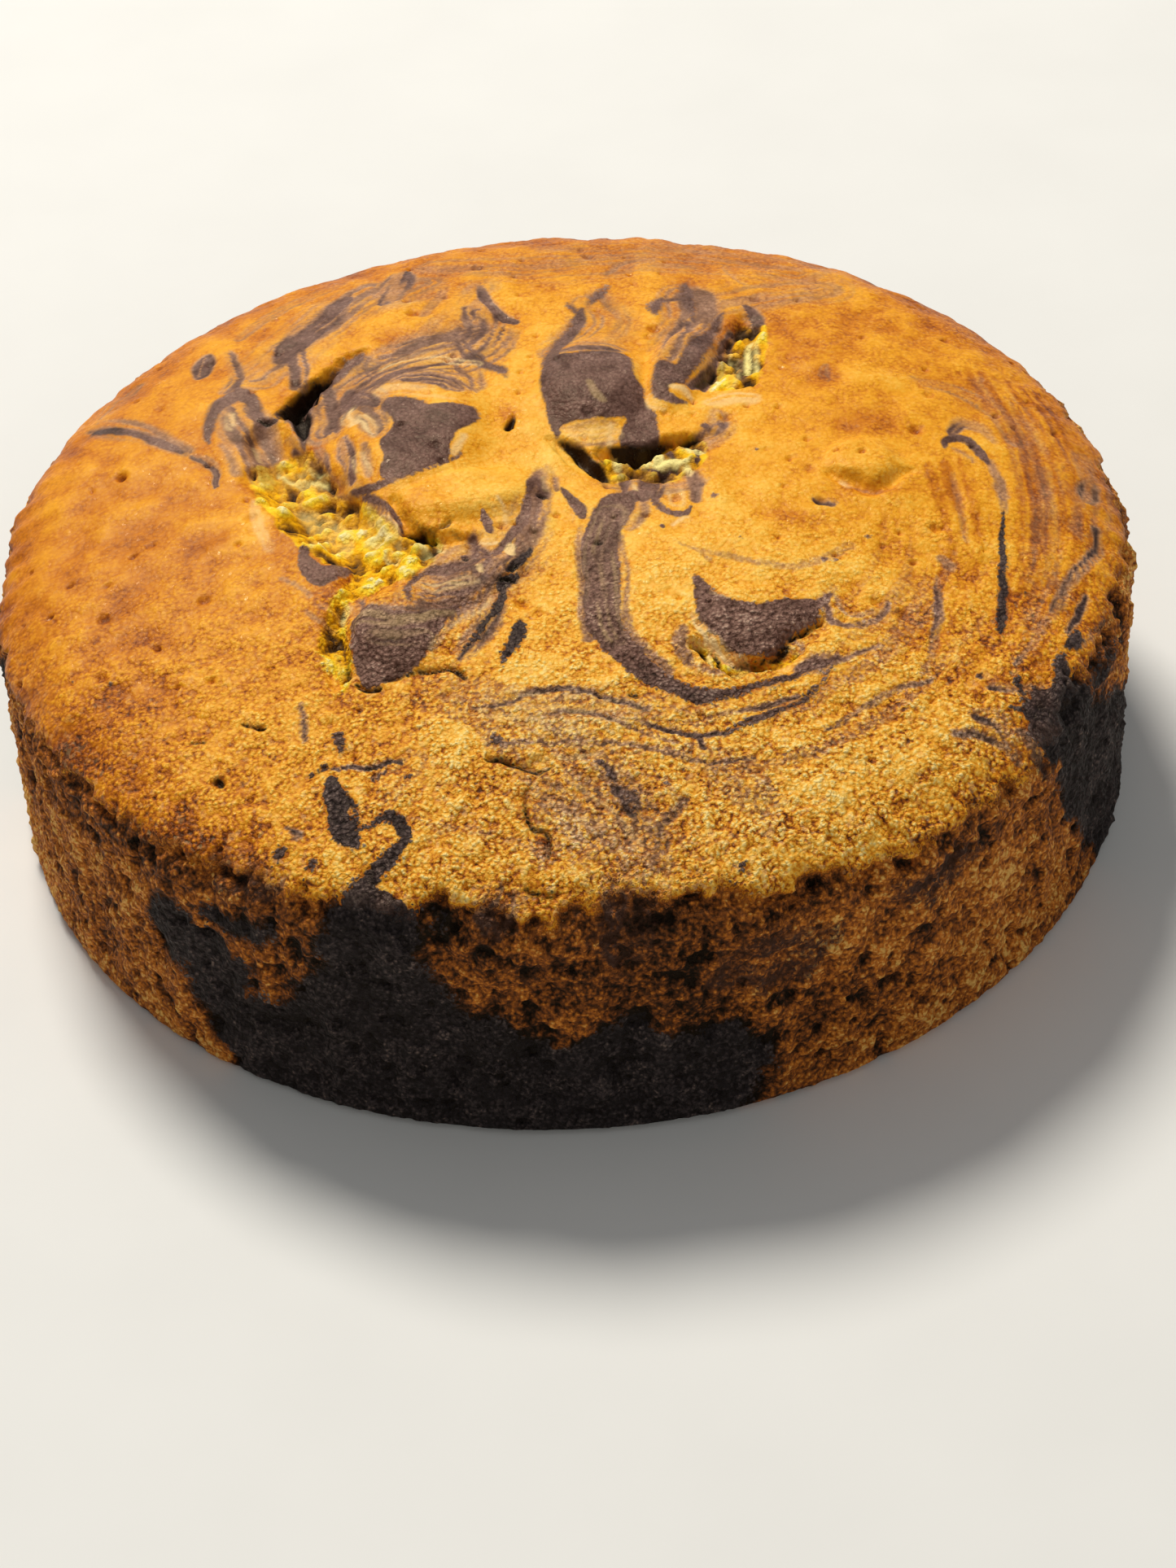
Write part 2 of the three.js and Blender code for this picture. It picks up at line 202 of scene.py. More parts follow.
# Chocolate patches: their outlines.
COCOA_PATCHES = {
    "smile": [
        (25.6, -34.2), (26.8, -34.8), (28, -37.4), (30, -40), (33, -41.7), (36.4, -42.6),
        (40, -41.8), (44, -41.2), (47.6, -41.2), (50.4, -40), (52, -38.6), (51.4, -40.6),
        (49.4, -43.4), (47.6, -46), (44.6, -48.2), (42, -50.2), (41, -52.6), (39, -54.6),
        (36, -55), (33.4, -55), (31, -53.8), (29, -51.4), (27, -48.8), (25.6, -46), (25, -42),
        (25.2, -38)],
    "middle_blob": [
        (-1.2, 22), (-1.4, 28), (-1.4, 34), (-0.4, 39), (2, 41.4), (5, 41), (8, 42), (12, 42),
        (15, 41.6), (17, 40.6), (17.8, 37), (18, 32), (19.6, 29), (19.8, 25.6), (20.6, 22.6),
        (22, 20.6), (21.8, 17), (21.4, 13), (20.6, 11), (17, 10.4), (14, 10.6), (13.6, 13),
        (14.2, 16.4), (15, 18.4), (11, 17.8), (7, 17.6), (3.4, 17.8), (1.6, 17.2), (0.4, 15.2),
        (-0.6, 18)],
    "side_blob": [
        (21.4, 26), (21.2, 30), (21.8, 34), (22.6, 37.6), (24.6, 38.4), (26.4, 37), (27.6, 40),
        (28.4, 44), (30.4, 48), (32.4, 52), (34.6, 56), (36.4, 60.4), (38.2, 62), (37.6, 58),
        (36, 53), (34.6, 48), (33.4, 43.6), (32, 39), (30.6, 35), (29, 31), (28.2, 29),
        (25.8, 28.8), (25, 26.4), (26.6, 25), (28.8, 24.6), (27, 23), (24.4, 23.2), (22.4, 24.2)],
    "shield": [
        (-34.5, 14.5), (-34, 11), (-33.6, 8), (-34.6, 5), (-34, 1.6), (-30, 1.2), (-27, 2.2),
        (-24.6, 4), (-22, 5.8), (-20.4, 8), (-20.3, 11), (-19.4, 14), (-17.6, 17), (-15.6, 19.5),
        (-15, 22), (-16.2, 24.8), (-20, 24.9), (-24.6, 25.2), (-26, 27.2), (-30, 29.6),
        (-34, 29.8), (-35, 27), (-33, 23), (-32, 20), (-33, 17)],
    "back_lip": [
        (-57, 33), (-54.5, 36), (-53.6, 39), (-52, 42), (-50, 45.5), (-47, 48), (-44.5, 51.5),
        (-41, 54.5), (-38.4, 55), (-38, 51.5), (-41, 47.5), (-44, 44), (-46.5, 41), (-48.5, 38),
        (-49, 33), (-49.3, 28), (-49.6, 22), (-50.5, 20), (-52, 24), (-54.5, 29.5)],
    "feather_head": [
        (-41.4, -38), (-41.4, -42), (-41.3, -46), (-41, -50), (-40.6, -54), (-39.2, -56.8),
        (-36.6, -57.2), (-34, -56), (-31, -55), (-28.6, -53.4), (-26.4, -50.8), (-24.8, -47.8),
        (-23.4, -44.8), (-21.8, -41.6), (-19.6, -38.8), (-17, -36.2), (-20, -37.6), (-24, -39.6),
        (-28, -40.8), (-32, -40), (-36, -38.4), (-39, -37.2)],
    "canyon_curl": [
        (-51.5, -14.5), (-50, -14.5), (-49.3, -17), (-47.5, -20.5), (-45.5, -21), (-44.6, -19),
        (-43.5, -19), (-42.4, -20.4), (-41.2, -19.4), (-41, -21.4), (-43, -24), (-45, -26.5),
        (-47.5, -27.5), (-49.8, -25), (-51.3, -21)],
    "right_patch": [
        (94.6, -50.6), (92.6, -52.6), (91, -56), (90.6, -61), (90.8, -67), (93, -71), (97, -68),
        (98, -62), (99.4, -58), (100.4, -55.4), (98, -54.8), (96, -55.2), (94.6, -53.6)],
}

# Golden batter that lies over the chocolate.
GOLD_LINES = {
    "right_lump": [(96.2, -50.4, 0.8), (97.4, -52.6, 1.5), (99, -54, 0.6)],
    "gap_lump": [(-54.8, 32.6, 0.7), (-53, 33.6, 1)],
    "feather_vein": [
        (-34, -38.4, 0.5), (-28, -38.8, 0.8), (-24, -37.8, 0.9), (-20, -36.2, 0.8),
        (-16.6, -34.2, 0.8), (-13.6, -31.6, 0.7), (-11.6, -28.4, 0.7), (-10, -25, 0.5)],
    "feather_side": [
        (-26, -52, 0.8), (-23, -48.4, 1.3), (-20, -44.8, 1.4), (-17, -41, 1.3), (-14.4, -37.8, 1),
        (-12.6, -34.6, 0.6)],
    "tail_gold": [(-19.8, -15, 0.8), (-20, -20, 1), (-21.6, -23.6, 1), (-22.6, -25.6, 0.6)],
    "seahorse_eye": [(-42.2, -86.2, 0.5), (-41.8, -86.9, 0.5)],
    "seahorse_neck": [
        (-40.4, -91.6, 0.4), (-38, -92.4, 1.4), (-35.4, -91.4, 1.2), (-34, -93.6, 0.8)],
}

# Thin or half-mixed chocolate that only tints the crust, and a few painted shadows:
# (strength, [(x, y, half width)]), grouped by where it is.
VEILS_AND_SHADES = {
    "washes": [
        (0.26, [(-16, -64, 3), (-8, -76, 6), (1, -86, 8), (8, -96, 8), (10, -104, 5)]),
        (0.24, [(22, -80, 3), (30, -84, 5), (34, -91, 3)]),
        (0.24, [(-24, 96, 4), (0, 92, 8), (30, 92, 8), (56, 84, 6)]),
        (0.56, [
            (-46, 24, 3), (-43, 35, 4), (-36, 42, 5), (-26, 47, 7), (-17, 52, 7), (-14, 60, 4),
            (-14, 68, 2)]),
        (0.5, [(-66, 38, 2), (-63, 30, 4), (-61, 22, 4), (-59, 14, 2)]),
        (0.44, [(-62, 50, 4), (-56, 58, 5), (-50, 67, 5), (-44, 76, 5), (-38, 84, 4)]),
        (0.3, [(-40, 76, 4), (-32, 80, 6), (-26, 86, 4)]),
        (0.25, [(-22, 60, 4), (-18, 70, 4), (-14, 80, 4)]),
        (0.34, [(2, 46, 3), (8, 52, 5), (12, 60, 5), (10, 70, 4)]),
        (0.45, [(25, 40, 2.5), (28, 50, 4), (32, 60, 5), (32, 70, 5)]),
        (0.28, [(38, 66, 4), (48, 70, 6), (60, 74, 6)]),
        (0.3, [(30, 10, 2), (34, 15, 2.4), (35, 20, 1.6)]),
        (0.35, [(11, -1, 2), (20, -3, 4), (28, -3, 2)]),
        (0.2, [(108, 12, 3), (108, -2, 5), (105, -14, 3)]),
        (0.2, [(92, 34, 3), (98, 14, 5), (98, -8, 4), (93, -30, 3)]),
        (0.45, [
            (-2.4, 4, 1.5), (-4, -6, 2), (-7.4, -16, 4), (-13, -25, 6), (-20, -32, 6),
            (-26, -36, 4)]),
    ],
    "island_crown": [
        (0.75, [(-41.5, 39, 1), (-41.8, 34.6, 1.6), (-40.6, 30.6, 1.2)]),
        (0.7, [(-39.6, 36, 1.6), (-37.4, 32.6, 2.4), (-36, 29.6, 1.6)]),
        (0.7, [(-30, 37, 1.4), (-26, 36.4, 2.2), (-22, 34.6, 2), (-19.4, 31.8, 1.2)]),
        (0.4, [(-36, 39.6, 1.2), (-30, 40.4, 1.2), (-24, 40, 1.2), (-19, 38.6, 1)]),
        (0.45, [(-19, 44, 1.4), (-17, 39, 2), (-16, 34, 1.6)]),
        (0.5, [(-33.6, 51, 2.4), (-28, 54, 3.4), (-21, 56, 3.4), (-15, 60, 2.4)]),
        (0.45, [(-36.4, 43, 1), (-38, 47, 1.6), (-37.4, 51.6, 1.2)]),
        (0.3, [(-33, 43, 1), (-25, 44, 1.6), (-21, 47, 1.4), (-20, 52, 1.2)]),
        (0.55, [(-18.6, 54, 1.2), (-17.4, 50, 1.8), (-15, 46.4, 1.8)]),
        (0.55, [(-16.6, 70, 0.9), (-16, 65, 1.5), (-15.2, 58, 1.3)]),
    ],
    "island_left": [
        (0.55, [(-46.6, 42, 1), (-46, 36, 1.9), (-45.2, 29, 1.7), (-44, 24, 1)]),
        (0.5, [(-38.6, 27.6, 1.2), (-36.6, 23.6, 2.2), (-35.4, 18.6, 1.6)]),
        (0.8, [(-42.2, 19, 0.7), (-41.6, 14, 1.1), (-40.6, 9, 0.9), (-40.6, 5, 0.6)]),
        (0.5, [(-46, 9.6, 0.8), (-43.6, 6, 1.4), (-40.6, 3.4, 1.4), (-38.4, 0.6, 0.8)]),
        # Painted shade in the cleft between the island and the canyon.
        (0.7, [(-47.4, 18, 0.7), (-46.6, 14, 1), (-45.6, 10.6, 0.5)]),
        (0.35, [(-37.6, 14, 0.8), (-37, 9, 1), (-36.6, 4.6, 0.8)]),
    ],
    "canyon": [
        (0.6, [(-55, 15.6, 0.8), (-53.6, 10.6, 1.4), (-54, 5, 1.5), (-55, 1, 0.8)]),
        (0.6, [(-39.2, -5, 0.8), (-37.4, -8.4, 1.2), (-36, -11.6, 0.7)]),
        (0.4, [(-44.6, -0.6, 0.6), (-41.4, -3.6, 0.8), (-39.4, -4.8, 0.7)]),
        (0.4, [(-51.4, 6, 0.6), (-50.2, 2, 0.8)]),
        (0.35, [(-38.6, -12.6, 0.8), (-36.6, -14.8, 1)]),
        (0.35, [(-48, -7, 0.5), (-46.6, -10.6, 0.6), (-46.6, -14, 0.4)]),
        (0.6, [(-60.4, 29.6, 1), (-58.4, 24.6, 1.6), (-57, 20, 1.2)]),
        (0.4, [(-64.4, 26.6, 1.2), (-62, 21.6, 1.6), (-61, 17, 1)]),
        (0.55, [(-52.6, 21.6, 0.8), (-50.8, 18, 1), (-49, 14.6, 0.6)]),
        (0.35, [(-68, 25, 1), (-66, 20, 1.4), (-64.6, 14, 1)]),
        (0.3, [(-51.4, -28.6, 0.3), (-47.4, -33.4, 0.5), (-44.6, -34.6, 0.5)]),
        (0.3, [(-50.4, -33.6, 0.3), (-47.2, -37.4, 0.5), (-44.6, -38.6, 0.4)]),
        (0.3, [(-44.4, -44, 0.4), (-43.4, -50, 0.6), (-42.4, -55.4, 0.4)]),
        (0.3, [(-54.6, -23, 0.4), (-51.6, -26, 0.5), (-49, -30, 0.4)]),
    ],
    "left": [
        (0.5, [(-68, 45.6, 1), (-66, 50, 1.3), (-67, 57, 1.2), (-68, 63, 0.9)]),
        (0.35, [(-67.8, 37.6, 1), (-66.2, 34, 1.6), (-65.6, 29.6, 1.2)]),
        (0.4, [(-97, 44, 1.6), (-92, 41.6, 3), (-84, 35, 2.2), (-76, 26, 1.4)]),
        (0.35, [(-95, 46, 1.6), (-92, 53, 2.2), (-88, 60, 1.6)]),
        (0.8, [(-74.4, 23.4, 0.7), (-71.4, 20.4, 0.9), (-69, 16.6, 0.7), (-68.4, 11.4, 0.5)]),
        (0.75, [(-73.8, 55.6, 1), (-73.2, 60, 1.7), (-72.6, 63.6, 0.9)]),
    ],
    "back": [
        (0.6, [(-53, 44.6, 1.2), (-52.8, 51, 2), (-54, 57.6, 2.2)]),
        (0.9, [
            (-56, 56, 1.6), (-54.6, 61, 2.6), (-51.6, 66, 2.8), (-48, 70.6, 2.4), (-45, 75.4, 2.2),
            (-43, 80.6, 1.3)]),
        (0.9, [(-34, 75, 1.4), (-32.8, 81, 2.6), (-31, 88, 2.3), (-30, 93.6, 1)]),
        (0.8, [(-13.2, 81, 0.6), (-12.4, 76, 1), (-11, 70, 1), (-9, 65.6, 1.2), (-7, 63.8, 0.9)]),
        (0.35, [(-66, 70, 1), (-60, 78, 1.4), (-52, 86, 1.4), (-44, 92, 1)]),
        (0.26, [(-26, 68, 1), (-22, 78, 1.4), (-20, 90, 1.2)]),
        (0.35, [(15, 84, 1.2), (19, 88, 1.8), (24, 90, 1.2)]),
        (0.25, [(54, 76, 1.8), (58.6, 75, 2.6), (63, 72, 1.6)]),
        (0.3, [(44, 76, 0.8), (42, 81, 1), (41, 86, 0.8)]),
    ],
    "blobs": [
        (0.55, [(4.4, 43.6, 1.2), (8.6, 44.6, 1.8), (14, 43.8, 1.4)]),
        (0.35, [(6, 50, 1.4), (11, 49, 2), (15.6, 46.6, 1.4)]),
        (0.6, [(25.4, 41, 1.4), (26, 46, 2.2), (28, 52, 2.8), (29.4, 57, 1.6)]),
        (0.6, [(25.6, 69, 0.9), (28.4, 70, 1.1), (31, 69.4, 0.9)]),
        (0.35, [(34.6, 64, 1), (35, 69, 1.2), (33.6, 75, 1)]),
        (0.6, [(31.6, 35.6, 0.7), (33.6, 40.6, 0.8), (35, 46, 0.8), (37, 51.6, 0.7)]),
        (0.9, [
            (29.4, 29.4, 0.5), (31.2, 32, 0.8), (33, 35.4, 0.9), (34.8, 39, 0.9), (36, 44, 0.8),
            (37.6, 49.6, 0.8), (39.4, 54.8, 0.7)]),
        (0.6, [(40.8, 34.6, 0.6), (40.6, 39.6, 1), (40.6, 45, 0.7)]),
        (0.7, [(43, 64, 0.8), (44.6, 60.6, 1.3), (46, 56.4, 0.8)]),
        (0.3, [(57.8, 37.6, 0.6), (57.5, 34.6, 0.8), (57.8, 32, 0.5)]),
    ],
    "navel": [
        (0.4, [(2, 16.6, 0.6), (7, 16, 0.9), (12, 16.4, 0.8)]),
        (0.35, [(4, 12.6, 0.6), (8.6, 11.8, 0.8), (12.6, 12, 0.7)]),
        (0.7, [(12.6, 7.6, 0.8), (16, 6, 1), (20, 7, 0.9)]),
        (0.6, [(22, 9.6, 0.6), (26, 10.6, 0.9)]),
        (0.6, [(18.4, 2.6, 0.7), (22.6, 2.8, 1), (27, 3.6, 0.8)]),
        (0.6, [(-3, 3.6, 1), (-2.6, 0, 1.8), (-2.4, -3.6, 1.3)]),
        (0.4, [(-3.8, -6.6, 1), (-4.2, -11, 1.2), (-4.4, -16, 1), (-5.4, -20, 0.8)]),
        (0.45, [(0.2, 2.6, 0.4), (0.2, -1.6, 0.5)]),
        (0.8, [(13.4, 4.4, 0.8), (13.4, 0, 1.1), (13.8, -5, 1.2)]),
        (0.7, [(18, 2, 0.9), (17.8, -3, 1.3), (17.4, -7, 0.9)]),
        (0.8, [(20.8, 1.4, 0.8), (20.4, -2.6, 1), (19.6, -6.6, 0.8)]),
        (0.5, [(26.4, 2, 0.8), (27.6, -3, 1.1), (28, -8.6, 0.9)]),
        (0.4, [(15.4, 1.6, 0.8), (15.8, -4, 1)]),
        (0.45, [(22, 0.4, 0.8), (24.6, 1.6, 1.2), (26.6, 0.6, 0.8)]),
        (0.4, [(16.8, -8, 1), (16.4, -12, 1.6), (14.6, -17, 1)]),
        (0.5, [(29.6, 12.6, 1), (32.4, 14.4, 1.4), (35, 17, 1)]),
    ],
    "feather": [
        (0.7, [(-40, -31, 0.8), (-39.4, -35, 1.3), (-39, -38.6, 1)]),
        (0.5, [
            (-38, -38, 0.8), (-33, -38.6, 1), (-28, -39.6, 1.1), (-23, -38.4, 1),
            (-18.6, -36.4, 0.7)]),
        (0.5, [(-27, -31, 1.6), (-23, -31.8, 2.6), (-18, -30.6, 2.2), (-14, -27.4, 1.4)]),
        (0.7, [(-25, -27.8, 0.7), (-21, -27, 1.2), (-16, -26, 1.4), (-13, -22.6, 1)]),
        (0.6, [(-24, -17, 1), (-23.4, -20.6, 1.6), (-25, -23.6, 1.2)]),
        (0.6, [(-17.2, -16.6, 0.8), (-16.6, -20, 1.3), (-17.4, -25, 1.8), (-18.6, -28, 1.4)]),
        (0.75, [(-15, -22, 1.2), (-14.4, -25.6, 1.6), (-16.6, -28.6, 1.2)]),
        (0.6, [(-25, -27, 0.8), (-21, -27.6, 1.2), (-17, -28.4, 1)]),
        (0.85, [(-23.6, -34.4, 0.9), (-20.6, -33.8, 1.4), (-17.4, -32.6, 1.2), (-14.8, -30, 0.8)]),
        (0.5, [(-24.6, -31, 1), (-21.6, -31.6, 1.2), (-18.4, -30, 0.9)]),
        (0.6, [(-13.4, -24, 0.7), (-12.6, -27, 0.9), (-14.6, -30.6, 0.6)]),
        (0.5, [(-10.6, -23.6, 0.8), (-11.6, -27, 0.8)]),
        (0.55, [(-21.6, -53, 0.8), (-18.4, -49.2, 1.6), (-15.6, -44.6, 1.8), (-12.6, -39, 1.4)]),
    ],
    "hook": [
        (0.4, [
            (12.2, -20, 0.7), (11.6, -30, 0.8), (10.8, -40, 0.9), (12.6, -51, 0.9),
            (18.4, -59.4, 0.8)]),
        (0.4, [(4.6, -16, 0.6), (3.6, -28, 0.7), (3.2, -40, 0.7), (4, -50, 0.7)]),
        (0.85, [(43.6, -58.6, 0.9), (47, -57.6, 1.4), (50.4, -55.8, 0.8)]),
        (0.6, [(50.4, -57.6, 0.4), (54, -55.4, 0.5), (59, -52.8, 0.4)]),
        (0.5, [(48.6, -41.6, 0.8), (50.6, -39.8, 0.9), (52.4, -37.6, 0.6)]),
        (0.6, [
            (50.2, -40, 0.4), (50, -43, 0.5), (50.9, -46.8, 0.5), (54.4, -48, 0.5),
            (58.6, -46.6, 0.5), (61.6, -44, 0.5), (62.6, -41, 0.4)]),
        (0.35, [(52.4, -40, 0.4), (53, -43.6, 0.5), (56, -45.4, 0.5), (60, -43, 0.4)]),
        (0.4, [(22.6, -48, 0.8), (21.4, -52, 1.3), (22.6, -56.6, 1)]),
        (0.35, [(23, -58, 0.7), (26.6, -59.8, 0.8), (31, -60, 0.6)]),
        (0.5, [(42.4, -51, 0.8), (43.6, -52.4, 1)]),
        (0.25, [(26.6, -26, 0.5), (28.4, -29.6, 0.6)]),
        (0.25, [(24, -24, 0.8), (31, -28, 1), (40, -31.6, 1), (48, -31, 1), (57, -25, 0.9)]),
    ],
    "right": [
        (0.75, [
            (73, -31.6, 0.32), (72.4, -36, 0.56), (71.8, -42, 0.56), (70.6, -48, 0.56),
            (69, -54, 0.48), (66.4, -59.4, 0.32)]),
        (0.6, [
            (107, -12.6, 0.5), (106.6, -17, 0.8), (104, -21.6, 0.9), (100.6, -27, 1), (98, -32, 1),
            (96, -37, 1), (94, -41, 0.8), (91, -46, 0.7), (87.6, -51, 0.6), (84, -56, 0.4)]),
        (0.26, [
            (99.4, 4, 0.8), (98.6, -9, 0.88), (97.6, -18, 0.88), (96.2, -26, 0.72),
            (93.8, -33, 0.72), (91.2, -39, 0.72), (89, -45, 0.72), (86.4, -51, 0.64),
            (83, -56, 0.56), (79.6, -60, 0.4)]),
        (0.75, [(101.6, -33.6, 0.4), (99.4, -39.6, 0.48), (96.4, -45, 0.4)]),
        (0.75, [(104.6, -37.6, 0.32), (101.6, -43, 0.4), (99, -47, 0.4)]),
        (0.26, [(80.4, -1, 0.48), (80, -12, 0.64), (79.4, -22, 0.48)]),
        (0.88, [(88.6, -4.4, 0.64), (88.9, -7.4, 0.96)]),
        (0.36, [(74.2, -27, 0.8), (75.8, -28.6, 1.12)]),
        (0.7, [(81.8, 14.4, 0.9), (84, 17.4, 1.5), (87.6, 15.8, 1.3), (89.8, 11.4, 0.8)]),
        (0.3, [(81.4, 8, 0.64), (83, 5.6, 0.96), (84.4, 3, 0.64)]),
        (0.4, [(88, 4, 0.6), (88.8, -3, 0.9), (88.4, -9, 0.8), (88, -13, 0.5)]),
        (0.22, [(94.6, 30, 1.2), (97, 18, 1.8), (99, 7, 1.6), (99, -3, 1)]),
        (0.6, [(107.2, -4, 1.2), (108.2, -0.6, 1.9), (109, 3, 1.1)]),
        (0.35, [(76, 34, 1), (84, 31, 1.8), (91, 24, 1.6), (94, 12, 1.2)]),
        # Painted shadow under the blister.
        (0.25, [(58, -5.6, 0.4), (62, -7.4, 0.56), (65.6, -8, 0.72), (69, -5.6, 0.56)]),
        (0.62, [(51.4, -10.6, 0.72), (53.6, -11.8, 0.96)]),
        (0.5, [(98, -57, 1.2), (100.6, -60, 2), (101.4, -64, 1.6)]),
        (1, [
            (46.6, -73.4, 0.24), (51, -71, 0.4), (54, -68.8, 0.48), (57, -67, 0.48),
            (59.6, -64.6, 0.48), (63, -62.4, 0.48), (68, -60.4, 0.32)]),
        (0.6, [(76, -69, 1), (80, -71, 1.8), (82, -76, 1.2)]),
        (0.69, [(79, -62, 0.64), (84, -62, 0.8), (89, -60, 0.64)]),
        (0.45, [(84, -71, 0.8), (88, -76, 1.12), (92, -74, 0.96)]),
        (0.5, [(71, -74, 0.64), (75, -73.6, 0.96), (79, -74.6, 0.8)]),
    ],
    "front": [
        (0.9, [(12, -71.6, 0.29), (17, -74.2, 0.43), (22, -75.6, 0.43), (28, -75, 0.36)]),
        (0.72, [(22.4, -76, 0.36), (23, -78.6, 0.5)]),
        (0.6, [
            (-22, -66, 0.58), (-12, -66, 0.65), (-6, -63.5, 0.72), (0, -63, 0.72), (7, -66, 0.79),
            (14, -69, 0.58)]),
        (0.5, [(-18, -72, 0.58), (-9, -71, 0.65), (0, -69, 0.65), (8, -72, 0.58), (18, -77, 0.58)]),
        (0.43, [(-14, -76, 0.65), (0, -77, 0.79), (12, -78, 0.65), (22, -82, 0.65)]),
        (0.6, [(-7, -69.6, 0.5), (-3, -66.6, 0.86), (0, -65, 0.86), (4, -65, 0.58)]),
        (0.6, [(-4, -73.4, 0.43), (-1.6, -72.6, 0.58), (0.6, -72.4, 0.36)]),
        (0.34, [(-6, -91, 2), (-2, -94, 2.6), (2, -98, 3), (6, -100, 2.4)]),
        (0.34, [(10, -94, 2), (13, -98, 2.4), (12, -103, 2.6)]),
        (0.16, [(-2, -66, 1.8), (-6, -70, 2), (-4, -73, 1.6)]),
        (0.43, [
            (24.4, -84.6, 0.65), (28, -82, 1.01), (32.4, -83.4, 1.01), (33.6, -88, 1.15),
            (31, -91, 0.72)]),
        (0.2, [(-20, -64, 2), (-6, -67, 2.6), (10, -70, 2.6), (24, -72, 1.6)]),
        (0.75, [(3.8, -81.6, 0.7), (5.4, -83.4, 1.1), (6.2, -85, 0.9)]),
        (0.7, [(7, -87.6, 1.2), (8.6, -90, 1.5), (9.6, -92.6, 0.8)]),
        (0.36, [(1, -79, 2), (6, -85, 3.6), (9, -92, 3), (10, -96, 2)]),
        (0.42, [(13.4, -101, 0.5), (14.4, -96.6, 0.8), (16.6, -93.4, 0.8), (19.6, -90.6, 0.5)]),
        (0.36, [(-4, -93, 0.72), (-1, -97, 0.94), (4, -100, 1.15), (10, -102, 1.15)]),
        (0.54, [(18, -72, 0.43), (26, -71, 0.5), (34, -69, 0.5), (42, -65.5, 0.43)]),
        (0.6, [(16, -80, 0.36), (24, -82, 0.5), (33, -81, 0.43)]),
        (0.6, [(-9, -87, 0.58), (-6.6, -88.6, 0.86)]),
        (0.16, [(-33, -80, 2), (-30, -77, 3), (-35, -84, 2)]),
        (0.84, [
            (-45, -75.4, 0.22), (-40, -75.8, 0.36), (-37.4, -76.6, 0.5), (-34, -75.8, 0.36),
            (-32, -76.6, 0.22)]),
        (0.72, [(-37.4, -79, 0.22), (-35.4, -77.8, 0.36)]),
        (0.6, [(-53.6, -86.6, 0.36), (-51.4, -89, 0.65)]),
        (0.72, [(-17, -75, 0.22), (-13, -75, 0.36), (-10, -75.2, 0.14)]),
        (0.54, [(-51, -59, 0.5), (-50.4, -64, 0.65), (-50.2, -68, 0.43)]),
        (0.6, [(-11.6, -97, 0.29), (-7.4, -99.4, 0.94), (-7, -102.4, 0.72)]),
    ],
}
